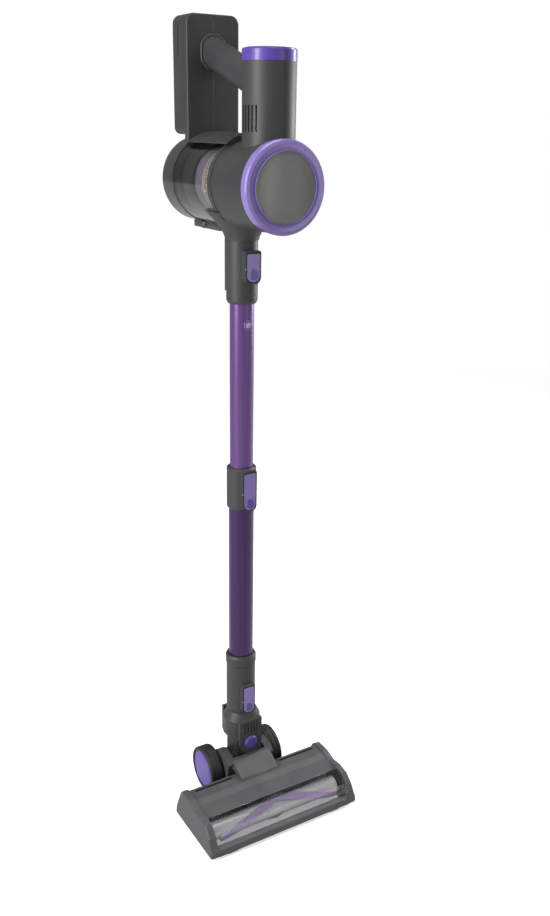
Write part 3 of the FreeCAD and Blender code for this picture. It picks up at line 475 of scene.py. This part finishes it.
class VacuumSizes(bpy.types.PropertyGroup):
    """Sizes of the fine pieces."""

    tuft_radius: length_property("Tuft radius", "Radius of one tuft at its foot", 0.00085)
    pleat_depth: length_property("Pleat depth", "Depth of the filter's pleats", 0.0042)
    dimple_depth: length_property("Dimple depth", "Depth of the holes in the shroud", 0.0011)
    tread_depth: length_property("Tread depth", "Depth of the grooves in the tyres", 0.0007)
    bead_radius: length_property("Bead radius", "Radius of the thin beads round the buttons", 0.0005)
    pleats: bpy.props.IntProperty(name="Pleats", description="How many pleats the filter has",
                                  default=56, min=8)


class StageSettings(bpy.types.PropertyGroup):
    """Floor, lights and camera."""

    key_power: bpy.props.FloatProperty(name="Key light", description="Power of the left light",
                                       default=52.0, min=0.0)
    fill_power: bpy.props.FloatProperty(name="Fill light", description="Power of the right light",
                                        default=40.0, min=0.0)
    top_power: bpy.props.FloatProperty(name="Top light", description="Power of the light overhead",
                                       default=14.0, min=0.0)
    front_power: bpy.props.FloatProperty(name="Front light", description="Power of the front light",
                                         default=5.0, min=0.0)
    room: bpy.props.FloatProperty(name="Room light", description="Strength of the room's soft light",
                                  default=0.19, min=0.0)


LOOKS = {}


def paint(material, *nodes):
    """Gives CAD nodes a material through their own material slots."""
    for node in nodes:
        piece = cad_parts[node]
        for holder in piece.material_slots:
            holder.material = material


def button_pad(node):
    """Where the darker thumb pad of a rocker button lies."""
    low, high = corners(node)
    half = (high[0] - low[0]) / 2 - 2 * MM
    return 0.0, low[2] + half, half * 0.62, half * 0.8


class VACUUM_OT_finishes(bpy.types.Operator):
    """Builds every finish and gives it to the CAD nodes that stay"""

    bl_idname = "vacuum.finishes"
    bl_label = "Finishes"

    def execute(self, context):
        c = context.scene.vacuum_colours
        housing, head, accent = tuple(c.housing), tuple(c.head), tuple(c.accent)
        lilac = tuple(c.accent_light)
        deep = shaded(accent, 0.9)
        LOOKS["housing"] = plastic("Charcoal moulded", housing, rough=0.5)
        # The grip gets painted shade along its parting line at x = 0.
        LOOKS["handle"] = plastic("Charcoal grip", housing, rough=0.52, seam_shadow_x=0.0, depth=0.00009)
        LOOKS["head"] = plastic("Grey moulded", head, rough=0.42, grain=1900.0, depth=0.00004)
        LOOKS["accent"] = plastic("Violet gloss", accent, rough=0.38, grain=700.0, depth=0.000008,
                                  cells=0.0, wear_and_highlight=0.12, coat=0.25)
        LOOKS["ring"] = plastic("Light violet gloss", lilac, rough=0.28, grain=700.0, depth=0.000008,
                                cells=0.0, wear_and_highlight=0.15, coat=0.6)
        LOOKS["disc"] = drawn_metal("Dark satin disc", (0.23, 0.235, 0.222), 0.4, 0.25,
                                    (60.0, 2.0, 2.0), coat=0.15)
        LOOKS["upper"] = drawn_metal("Violet anodised", tuple(c.upper_tube), 0.34, 0.55,
                                     (500.0, 500.0, 3.0), coat=0.3)
        LOOKS["lower"] = drawn_metal("Dark violet anodised", tuple(c.lower_tube), 0.36, 0.55,
                                     (500.0, 500.0, 3.0), coat=0.3)
        LOOKS["clear"] = clear_plastic("Clear cup", (0.93, 0.92, 0.94))
        LOOKS["window"] = clear_plastic("Clear window", (0.97, 0.97, 0.98), rough=0.02)
        LOOKS["smoke"] = plastic("Smoke gloss", (0.05, 0.05, 0.052), rough=0.25, grain=500.0,
                                 depth=0.000006, cells=0.0, coat=0.5)
        LOOKS["black"] = plastic("Black moulded", (0.018, 0.018, 0.019), rough=0.5)
        LOOKS["rubber"] = plastic("Soft black rubber", (0.022, 0.022, 0.023), rough=0.72,
                                  grain=2600.0, depth=0.00005, dust=0.12, wear_and_highlight=0.2)
        LOOKS["tyre"] = plastic("Tyre rubber", (0.014, 0.014, 0.015), rough=0.6, grain=2200.0,
                                depth=0.00006, dust=0.12, wear_and_highlight=0.25)
        LOOKS["roller"] = soft_fibre("Silver plush roller", (0.75, 0.75, 0.74), (60.0, 700.0, 700.0),
                                     rough=0.55, sheen=0.3)
        LOOKS["bristle"] = soft_fibre("Lilac bristle", tuple(c.bristle), (300.0, 300.0, 300.0))
        LOOKS["filter"] = soft_fibre("Filter paper", tuple(c.filter_media), (500.0, 30.0, 500.0),
                                     sheen=0.2)
        LOOKS["shroud"] = plastic("Shroud", (0.2, 0.19, 0.25), rough=0.38, dust=0.0)
        LOOKS["steel"] = drawn_metal("Turned steel", (0.56, 0.56, 0.57), 0.28, 1.0,
                                     (60.0, 900.0, 900.0))
        LOOKS["chrome"] = drawn_metal("Plated detent", (0.42, 0.36, 0.55), 0.25, 0.8,
                                      (300.0, 300.0, 300.0))
        LOOKS["cells"] = plastic("Cell wrap", (0.05, 0.22, 0.42), rough=0.3, grain=400.0,
                                 depth=0.000004, wear_and_highlight=0.0, dust=0.0)
        LOOKS["display"] = plastic("Display window", (0.004, 0.004, 0.006), rough=0.08,
                                   grain=300.0, depth=0.000002, cells=0.0, wear_and_highlight=0.0, coat=0.8,
                                   coat_rough=0.03)
        paint(LOOKS["housing"], "motor_housing", "tower_shell", "inlet_neck", "telescope_collar",
              "wand_socket", "yoke", "lock_ring", "battery_case", "battery_cover",
              "battery_clip_left", "battery_clip_right")
        paint(LOOKS["handle"], "handle_left", "handle_right")
        paint(LOOKS["head"], "head_cover", "end_cap_left", "end_cap_right", "front_lip",
              "sole_plate", "cradle")
        paint(LOOKS["accent"], "tower_cap", "swivel_cap")
        paint(LOOKS["ring"], "front_ring")
        paint(LOOKS["disc"], "front_disc")
        paint(LOOKS["upper"], "upper_tube")
        paint(LOOKS["lower"], "lower_tube")
        paint(LOOKS["clear"], "dust_cup")
        paint(LOOKS["window"], "head_window")
        paint(LOOKS["smoke"], "cup_lid", "lid_latch")
        paint(LOOKS["black"], "shroud_skirt", "motor_case", "neck_block", "brush_motor",
              "power_button", "mode_button")
        paint(LOOKS["rubber"], "lid_seal", "drive_belt", "front_glides")
        paint(LOOKS["roller"], "brush_roll")
        paint(LOOKS["filter"], "exhaust_filter")
        paint(LOOKS["steel"], "cup_pins", "swivel_pin", "neck_screws", "wheel_axles",
              "motor_pulley", "charge_jack", "fan_rotor")
        paint(LOOKS["chrome"], "wand_detent")
        paint(LOOKS["cells"], "battery_cells")
        paint(LOOKS["display"], "display")
        for node in ("neck_button", "telescope_button", "socket_button"):
            paint(plastic("Violet " + node.replace("_", " "), lilac, rough=0.3, grain=700.0,
                          depth=0.000008, cells=0.0, wear_and_highlight=0.15, coat=0.5,
                          pad=button_pad(node) + (deep,)), node)
        return {"FINISHED"}


class VACUUM_OT_wheels(bpy.types.Operator):
    """Rounded tyres with circumferential grooves, and domed hubs with a stepped face"""

    bl_idname = "vacuum.wheels"
    bl_label = "Wheels"

    def execute(self, context):
        depth = context.scene.vacuum_sizes.tread_depth
        for side, outward in (("left", -1), ("right", 1)):
            low, high = corners("tyre_" + side)
            hub_low, hub_high = corners("wheel_hub_" + side)
            centre = middle("tyre_" + side)
            radius = (high[2] - low[2]) / 2
            hub_radius = (hub_high[2] - hub_low[2]) / 2
            half = (high[0] - low[0]) / 2
            crown, low_crown = (6.0 * MM, 3.4 * MM)[::-outward]
            outline = rounded([(-half, hub_radius), (-half, radius), (half, radius),
                               (half, hub_radius)], [0.2 * MM, low_crown, crown, 0.2 * MM], 9)

            def grooves(profile, t, radius=radius, depth=depth, half=half):
                a, r = profile[:, 0:1], profile[:, 1:2]
                on_top = (r > radius - 0.1 * MM).astype(float)
                lines = np.exp(-((np.abs(a) - half * 0.35) / (0.5 * MM)) ** 2)
                return -depth * lines * on_top * np.ones_like(t)[None]

            tread = np.linspace(-half + low_crown, half - crown, 41)
            outline = np.concatenate([outline[outline[:, 0] < -half + low_crown - 1e-6],
                                      np.stack([tread, np.full(len(tread), radius)], axis=1),
                                      outline[outline[:, 0] > half - crown + 1e-6]])
            add_piece("tyre_%s_rubber" % side, turned(outline, centre, 0, 144, ripple=grooves),
                      "wheel_" + side, LOOKS["tyre"], ("tyre_" + side,))
            r = hub_radius - 0.05 * MM
            face = half * outward
            back = -half * outward
            bore, web = 4.05 * MM, 6 * MM
            # how far the face lies inward, in millimetres, at each share of the radius
            steps = ((0, 0), (0, 0.2), (0.15, 0.55), (0.4, 0.8), (0.5, 0.83), (1, 0.845), (1, 0.875),
                     (0.5, 0.89), (0.7, 0.97), (1.5, 1))
            front = [(face - inward * MM * outward, share * r) for inward, share in steps]
            rear = [(back, r), (back, r - 4 * MM), (back + web * outward, r - 5.5 * MM),
                    (back + web * outward, bore + 4 * MM), (back, bore + 3 * MM), (back, bore),
                    (face - 3 * MM * outward, bore), (face - 3 * MM * outward, 0)]
            dome = np.array(front + rear)
            add_piece("wheel_hub_%s_face" % side, turned(dome, centre, 0, 144, closed=True),
                      "wheel_" + side, LOOKS["accent"], ("wheel_hub_" + side,))
        return {"FINISHED"}


class VACUUM_OT_brush(bpy.types.Operator):
    """Tufts along two chevron helices on the brush roll, and the ribs under the top of the window"""

    bl_idname = "vacuum.brush"
    bl_label = "Brush"

    def execute(self, context):
        foot = context.scene.vacuum_sizes.tuft_radius
        centre = middle("brush_roll")
        low, high = corners("brush_strips")
        span = (high[0] - low[0]) / 2
        tip, core = 17.3 * MM, 12.4 * MM
        twist, fan = math.radians(110), 0.3
        along, across = 110, 9
        share = np.linspace(0, 1, along)
        rows = np.linspace(-1, 1, across)
        places, turns = [], []
        rng = np.random.default_rng(7)
        for start in (0.0, math.pi):
            for side in (-1, 1):
                s, w = [m.ravel() for m in np.meshgrid(share, rows, indexing="ij")]
                lean = rng.normal(0, 0.05, (len(s), 2))
                angle = start + twist * s + w * fan
                x = side * span * 0.995 * s + rng.normal(0, 0.0002, len(s))
                outward = np.stack([lean[:, 0], -np.sin(angle + lean[:, 1]),
                                    np.cos(angle + lean[:, 1])], axis=1)
                outward /= np.linalg.norm(outward, axis=1, keepdims=True)
                first = np.cross(outward, np.array([1.0, 0.0, 0.0]))
                first /= np.linalg.norm(first, axis=1, keepdims=True)
                second = np.cross(outward, first)
                turns.append(np.stack([first, second, outward], axis=2))
                places.append(np.stack([x, centre[1] - np.sin(angle) * core,
                                        centre[2] + np.cos(angle) * core], axis=1))
        sides = 5
        t = np.linspace(0, FULL_TURN, sides, endpoint=False)
        rings = [(0.0, 0.0), (0.0, foot), (0.55 * (tip - core), foot * 1.05),
                 (0.95 * (tip - core), foot * 0.75), (tip - core, 0.0)]
        tuft = np.concatenate([np.stack([r * np.cos(t), r * np.sin(t), np.full(sides, z)], axis=1)
                               for z, r in rings])
        surface = scattered(tuft, grid_quads(len(rings), sides), np.concatenate(places),
                            np.concatenate(turns))
        add_piece("brush_tufts", surface, "brush", LOOKS["bristle"],
                  ("brush_strips",))
        window_low, window_high = corners("head_window")
        top = window_high[2] - 1.95 * MM
        low_edge, front, back = top - 1 * MM, centre[1] - 3.6 * MM, centre[1] + 3.2 * MM
        rib = rounded([(front, low_edge), (back, low_edge), (back, top), (front, top)], 0.3 * MM, 3)
        chamfer, width, count = 0.1 * MM, 1.6 * MM, 46
        ribs = [carried(rib, [(x, chamfer), (x + chamfer, 0), (x + width - chamfer, 0),
                              (x + width, chamfer)], 0)
                for x in np.linspace(window_low[0] + 14 * MM, window_high[0] - 16 * MM, count)]
        add_piece("window_comb", joined(*ribs), "floor_head", LOOKS["black"])
        return {"FINISHED"}


class VACUUM_OT_filter(bpy.types.Operator):
    """Pleated filter, dimpled cyclone shroud and the cover of the hinge under the clear cup"""

    bl_idname = "vacuum.filter"
    bl_label = "Filter and shroud"

    def execute(self, context):
        sizes = context.scene.vacuum_sizes
        low, high = corners("filter_cartridge")
        centre = middle("cyclone_shroud")
        outer = (high[2] - low[2]) / 2
        y0, y1 = low[1], high[1]
        depth, count = sizes.pleat_depth, sizes.pleats
        inner = outer - 12 * MM
        rows = [(y0, inner), (y0, outer), (y0 + 2.4 * MM, outer), (y0 + 2.5 * MM, outer - 0.01 * MM),
                (y1 - 2.5 * MM, outer - 0.01 * MM), (y1 - 2.4 * MM, outer), (y1, outer), (y1, inner)]
        pleated = np.array([0, 0, 0, 1, 1, 0, 0, 0], float)[:, None]

        def pleats(profile, t):
            fold = np.abs(((t * count / FULL_TURN) % 1.0) * 2 - 1)
            return -depth * pleated * (0.15 + 0.85 * fold)[None]

        add_piece("filter_pleats", turned(rows, (centre[0], 0, centre[2]), 1, count * 10,
                                          ripple=pleats), "filter",
                  LOOKS["filter"], ("filter_cartridge",), sharp=math.radians(50))
        bottom, top = corners("dust_cup")
        back = top[1] - 4 * MM
        side, z0, z1 = 8.3 * MM, bottom[2] + 0.2 * MM, bottom[2] + 9.5 * MM
        outline = rounded([(-side, z0), (side, z0), (side, z1), (-side, z1)], 1.2 * MM, 5)
        cover = carried(outline, [(back - 44 * MM, 1.5 * MM), (back - 42.5 * MM, 0), (back - 7 * MM, 0),
                                  (back - 6 * MM, 1 * MM)], 1)
        add_piece("hinge_cover", cover, "dust_cup", LOOKS["smoke"])
        low, high = corners("cyclone_shroud")
        radius = (high[2] - low[2]) / 2
        y0, y1 = low[1], high[1]
        wall = np.linspace(y0 + 1.5 * MM, y1 - 1.5 * MM, 72)
        rows = np.concatenate([[(y0, 0), (y0, radius - 0.8 * MM), (y0 + 0.8 * MM, radius)],
                               np.stack([wall, np.full(len(wall), radius)], axis=1),
                               [(y1 - 0.8 * MM, radius), (y1, radius - 0.8 * MM), (y1, 0)]])
        drop = sizes.dimple_depth
        around, lines = 110, 7

        def dimples(profile, t):
            a = profile[:, 0:1]
            line = (a - wall[0]) / (wall[-1] - wall[0]) * lines
            shift = 0.5 * (np.floor(line) % 2)
            u = ((t[None] * around / FULL_TURN + shift) % 1.0) - 0.5
            v = (line % 1.0) - 0.5
            hole = 1 / (1 + np.exp((np.hypot(u, v) - 0.3) * 40))
            inside = (a > wall[0]) & (a < wall[-1])
            return -drop * hole * inside

        add_piece("shroud_screen", turned(rows, (centre[0], 0, centre[2]), 1, 480, closed=False,
                                          ripple=dimples), "filter",
                  LOOKS["shroud"], ("cyclone_shroud",))
        return {"FINISHED"}


class VACUUM_OT_beads(bpy.types.Operator):
    """Thin beads round the buttons and the detent, and a black bead of painted shade in the seam at
    the front of the housing
    """

    bl_idname = "vacuum.beads"
    bl_label = "Beads and seam shadow"

    def execute(self, context):
        radius = context.scene.vacuum_sizes.bead_radius
        wand = middle("lower_tube")
        for button, body in (("neck_button", "hand_unit"), ("telescope_button", "lower_wand"),
                             ("socket_button", "yoke")):
            low, high = corners(button)
            half = (high[0] - low[0]) / 2 - 2 * MM + 0.9 * MM
            z0, z1 = low[2] - 0.9 * MM, high[2] + 0.9 * MM
            face = low[1] + 2.1 * MM
            outline = rounded([(-half, z0), (half, z0), (half, z1), (-half, z1)],
                              [half - 1 * MM, half - 1 * MM, 2.6 * MM, 2.6 * MM], 12)
            path = np.stack([outline[:, 0], np.full(len(outline), face), outline[:, 1]], axis=1)
            add_piece(button + "_bezel", tube_along(path, radius * 0.9), body,
                      LOOKS["black"])
        low, high = corners("wand_detent")
        tube_radius = (corners("upper_tube")[1][0] - corners("upper_tube")[0][0]) / 2
        t = np.linspace(0, FULL_TURN, 48, endpoint=False)
        reach = (high[2] - low[2]) / 2 + 0.9 * MM
        across = reach * np.cos(t)
        path = np.stack([across, wand[1] - np.sqrt(tube_radius ** 2 - across ** 2),
                         (low[2] + high[2]) / 2 + reach * 1.25 * np.sin(t)], axis=1)
        add_piece("detent_rim", tube_along(path, radius * 0.9), "upper_wand",
                  LOOKS["chrome"])
        # Painted shade: a thin black bead stands where the seam at the front of the housing would lie in
        # shadow.
        housing_low, housing_high = corners("motor_housing")
        seam_radius = (housing_high[0] - housing_low[0]) / 2 - 0.6 * MM
        t = np.linspace(0, FULL_TURN, 192, endpoint=False)
        path = np.stack([middle("motor_housing")[0] + seam_radius * np.cos(t),
                         np.full(len(t), housing_low[1] - 0.17 * MM),
                         middle("front_disc")[2] + seam_radius * np.sin(t)], axis=1)
        add_piece("front_seam_shadow", tube_along(path, 0.3 * MM), "hand_unit",
                  LOOKS["black"])
        return {"FINISHED"}


class VACUUM_OT_display(bpy.types.Operator):
    """Battery bars that glow under the display window"""

    bl_idname = "vacuum.display_bars"
    bl_label = "Display bars"

    def execute(self, context):
        low, high = corners("display")
        centre = middle("display")
        material, tree, shader = start_material("Glowing bar", Base_Color=(0.5, 0.6, 1.0, 1.0),
                                                Roughness=0.4, Emission_Strength=0.8)
        glow = use_group(tree, "grain", Scale=900.0, Cells=0.2)
        wire(tree, (mix_colour(tree, glow.outputs["Height"], (0.35, 0.5, 1.0), (0.75, 0.85, 1.0)),
                    shader.inputs["Emission Color"]))
        bars = []
        reach = (high[0] - low[0]) / 2
        for k in range(4):
            half_x, half_y = 0.085 * reach, 0.34 * reach
            x = centre[0] + (k - 1.5) * 0.27 * reach
            outline = rounded([(x - half_x, centre[1] - half_y), (x + half_x, centre[1] - half_y),
                               (x + half_x, centre[1] + half_y), (x - half_x, centre[1] + half_y)],
                              0.8 * half_x, 5)
            bars.append(carried(outline, [(high[2] - 0.02 * MM, 0), (high[2] + 0.06 * MM, 0),
                                          (high[2] + 0.09 * MM, 0.05 * MM)], 2))
        add_piece("display_bars", joined(*bars), "hand_unit", material)
        return {"FINISHED"}


class VACUUM_OT_sole(bpy.types.Operator):
    """A wiper strip and screw heads on the underside of the floor head"""

    bl_idname = "vacuum.sole"
    bl_label = "Sole details"

    def execute(self, context):
        low, high = corners("sole_plate")
        half = (high[0] - low[0]) / 2 - 8 * MM
        brush = middle("brush_roll")
        y = brush[1] + 21.5 * MM
        strip = rounded([(y - 0.9 * MM, 1.2 * MM), (y + 0.9 * MM, 1.2 * MM),
                         (y + 1.6 * MM, low[2] + 0.1 * MM), (y - 1.6 * MM, low[2] + 0.1 * MM)],
                        0.5 * MM, 4)
        surface = carried(strip, [(-half, 0.4 * MM), (-half + 0.4 * MM, 0), (half - 0.4 * MM, 0),
                                  (half, 0.4 * MM)], 0)
        add_piece("sole_wiper", surface, "floor_head", LOOKS["rubber"])
        screws = [cross_screw((x, high[1] - 10 * MM, low[2]), 2, -1, 3.1 * MM)
                  for x in (-88 * MM, -30 * MM, 30 * MM, 88 * MM)]
        add_piece("sole_screws", joined(*screws), "floor_head", LOOKS["steel"])
        return {"FINISHED"}


def cross_screw(place, axis, outward, radius):
    """A pan head screw with a cross recess, as a height over a disc:
    h(r, t) = top (1 - (r / R)^4) - depth where |x| or |y| is small and r is under 0.62 R."""
    steps = 64
    r = np.concatenate([np.linspace(0, radius, 14), [radius]])
    t = np.linspace(0, FULL_TURN, steps, endpoint=False)
    rr, tt = np.meshgrid(r, t, indexing="ij")
    x, y = rr * np.cos(tt), rr * np.sin(tt)
    top, depth, skirt = 0.9 * MM, 0.6 * MM, 0.3 * MM
    height = top * (1 - (rr / radius) ** 4)
    narrow = np.minimum(np.abs(x), np.abs(y)) < 0.14 * radius
    height -= np.where(narrow & (rr < 0.62 * radius), depth, 0.0)
    height[-1] = -skirt
    points = np.zeros(x.shape + (3,))
    others = [k for k in range(3) if k != axis]
    points[..., others[0]], points[..., others[1]] = x + place[others[0]], y + place[others[1]]
    points[..., axis] = place[axis] + outward * height
    base = np.repeat([[*place]], steps, axis=0)
    base[:, axis] = place[axis] - outward * skirt
    points = np.concatenate([points.reshape(-1, 3), base])
    return points, grid_quads(len(r) + 1, steps)


class VACUUM_OT_stage(bpy.types.Operator):
    """Pale floor, soft lights and the camera"""

    bl_idname = "vacuum.stage"
    bl_label = "Stage"

    def execute(self, context):
        settings = context.scene.vacuum_stage
        scene = context.scene
        scene.view_settings.view_transform = "Standard"
        floor_radius, floor_height, sides = 9.0, -0.0004, 96
        rings = np.array([0.0, 0.5, 1.0, 2.0, 4.0, floor_radius])
        t = np.linspace(0, FULL_TURN, sides, endpoint=False)
        r, a = np.meshgrid(rings, t, indexing="ij")
        points = np.stack([r * np.cos(a), r * np.sin(a), np.full(r.shape, floor_height)], axis=-1)
        mesh = bpy.data.meshes.new("floor")
        faces = grid_quads(len(rings), sides)
        mesh.from_pydata(points.reshape(-1, 3).tolist(), [], faces.tolist())
        mesh.materials.append(floor_material(floor_radius))
        floor = bpy.data.objects.new("floor", mesh)
        scene.collection.objects.link(floor)
        world = bpy.data.worlds.new("Studio")
        scene.world = world
        world.use_nodes = True
        tree = world.node_tree
        tree.nodes.clear()
        out = tree.nodes.new("ShaderNodeOutputWorld")
        seen = add_node(tree, "ShaderNodeBackground", Color=(1, 1, 1, 1), Strength=1.0)
        light = add_node(tree, "ShaderNodeBackground", Color=(1, 1, 1, 1), Strength=settings.room)
        path = tree.nodes.new("ShaderNodeLightPath")
        mix = tree.nodes.new("ShaderNodeMixShader")
        wire(tree, (path.outputs["Is Camera Ray"], mix.inputs[0]), (light.outputs[0], mix.inputs[1]),
             (seen.outputs[0], mix.inputs[2]), (mix.outputs[0], out.inputs[0]))
        add_light("Key", (-2.0, -0.3, 1.3), (0, 0, 0.6), (0.6, 1.9), settings.key_power)
        add_light("Fill", (2.0, 0.13, 1.2), (0, 0, 0.6), (0.5, 1.9), settings.fill_power)
        add_light("Front", (0.9, -2.2, 1.0), (0, 0, 0.6), (0.8, 1.6), settings.front_power)
        add_light("Top", (0.2, -0.3, 2.6), (0, 0, 0.6), (1.2, 1.2), settings.top_power)
        add_camera()
        return {"FINISHED"}


def floor_material(radius):
    """Pale matt floor that melts into the white room; it throws only a little light upward."""
    material, tree, shader = start_material("Pale floor", Roughness=0.9, Emission_Strength=1.0,
                                            Specular_IOR_Level=0.1)
    place = tree.nodes.new("ShaderNodeTexCoord").outputs["Object"]
    length = add_node(tree, "ShaderNodeVectorMath", {"operation": "LENGTH"})
    wire(tree, (place, length.inputs[0]))
    far = spread_node(tree, length.outputs["Value"], 0.9, 0.35 * radius)
    wire(tree, (mix_colour(tree, far, (0.93, 0.93, 0.93), (0.0, 0.0, 0.0)), shader.inputs["Base Color"]),
         (mix_colour(tree, far, (0.6, 0.6, 0.6), (1.0, 1.0, 1.0)), shader.inputs["Emission Color"]))
    bounce = add_node(tree, "ShaderNodeBsdfDiffuse", Color=(0.3, 0.3, 0.3, 1.0))
    path = tree.nodes.new("ShaderNodeLightPath")
    choice = tree.nodes.new("ShaderNodeMixShader")
    mirrored = math_node(tree, "MULTIPLY", path.outputs["Is Glossy Ray"], 0.45)
    bright = math_node(tree, "MAXIMUM", path.outputs["Is Camera Ray"], mirrored)
    wire(tree, (bright, choice.inputs[0]), (bounce.outputs[0], choice.inputs[1]),
         (shader.outputs[0], choice.inputs[2]),
         (choice.outputs[0], tree.nodes["Material Output"].inputs["Surface"]))
    return material


def add_light(name, place, target, size, power):
    """A soft rectangular light that faces its target."""
    lamp = bpy.data.lights.new(name, "AREA")
    lamp.shape = "RECTANGLE"
    lamp.size, lamp.size_y = size
    lamp.energy = power
    holder = bpy.data.objects.new(name, lamp)
    holder.location = place
    holder.rotation_euler = (Vector(target) - Vector(place)).to_track_quat("-Z", "Y").to_euler()
    bpy.context.scene.collection.objects.link(holder)


def add_camera():
    """A camera at standing height, to the front left, looking down a little."""
    place = Vector((-0.5859, -1.04984, 0.95699))
    forward = Vector((0.48987, 0.80258, -0.34043)).normalized()
    roll = math.radians(-1.0017)
    level = forward.cross(Vector((0, 0, 1))).normalized()
    down = forward.cross(level)
    right = level * math.cos(roll) + down * math.sin(roll)
    low = down * math.cos(roll) - level * math.sin(roll)
    lens = bpy.data.cameras.new("Camera")
    lens.lens = 36.892
    lens.sensor_width = 36.0
    lens.shift_x = -0.00384
    lens.shift_y = 0.00762
    lens.clip_end = 60.0
    camera = bpy.data.objects.new("Camera", lens)
    axes = Matrix((right, -low, -forward)).transposed()
    camera.matrix_world = Matrix.Translation(place) @ axes.to_4x4()
    bpy.context.scene.collection.objects.link(camera)
    bpy.context.scene.camera = camera


STEPS = (VACUUM_OT_finishes, VACUUM_OT_wheels, VACUUM_OT_brush, VACUUM_OT_filter,
         VACUUM_OT_beads, VACUUM_OT_display, VACUUM_OT_sole, VACUUM_OT_stage)


class VACUUM_PT_panel(bpy.types.Panel):
    """Lists the steps and the settings in the sidebar"""

    bl_idname = "VACUUM_PT_panel"
    bl_label = "Stick vacuum"
    bl_space_type = "VIEW_3D"
    bl_region_type = "UI"
    bl_category = "Vacuum"

    def draw(self, context):
        for step in STEPS:
            self.layout.operator(step.bl_idname)
        for settings in (context.scene.vacuum_colours, context.scene.vacuum_sizes,
                         context.scene.vacuum_stage):
            for key in settings.__annotations__:
                self.layout.prop(settings, key)


CLASSES = (VacuumColours, VacuumSizes, StageSettings) + STEPS + (VACUUM_PT_panel,)


def register():
    """Registers the classes and hangs the settings on the scene."""
    for item in CLASSES:
        bpy.utils.register_class(item)
    bpy.types.Scene.vacuum_colours = bpy.props.PointerProperty(type=VacuumColours)
    bpy.types.Scene.vacuum_sizes = bpy.props.PointerProperty(type=VacuumSizes)
    bpy.types.Scene.vacuum_stage = bpy.props.PointerProperty(type=StageSettings)


def unregister():
    """Takes the settings and the classes away again."""
    del bpy.types.Scene.vacuum_stage
    del bpy.types.Scene.vacuum_sizes
    del bpy.types.Scene.vacuum_colours
    for item in reversed(CLASSES):
        bpy.utils.unregister_class(item)


def main():
    """Runs every step in order."""
    register()
    for step in STEPS:
        group, action = step.bl_idname.split(".")
        getattr(getattr(bpy.ops, group), action)()


if __name__ == "__main__":
    main()
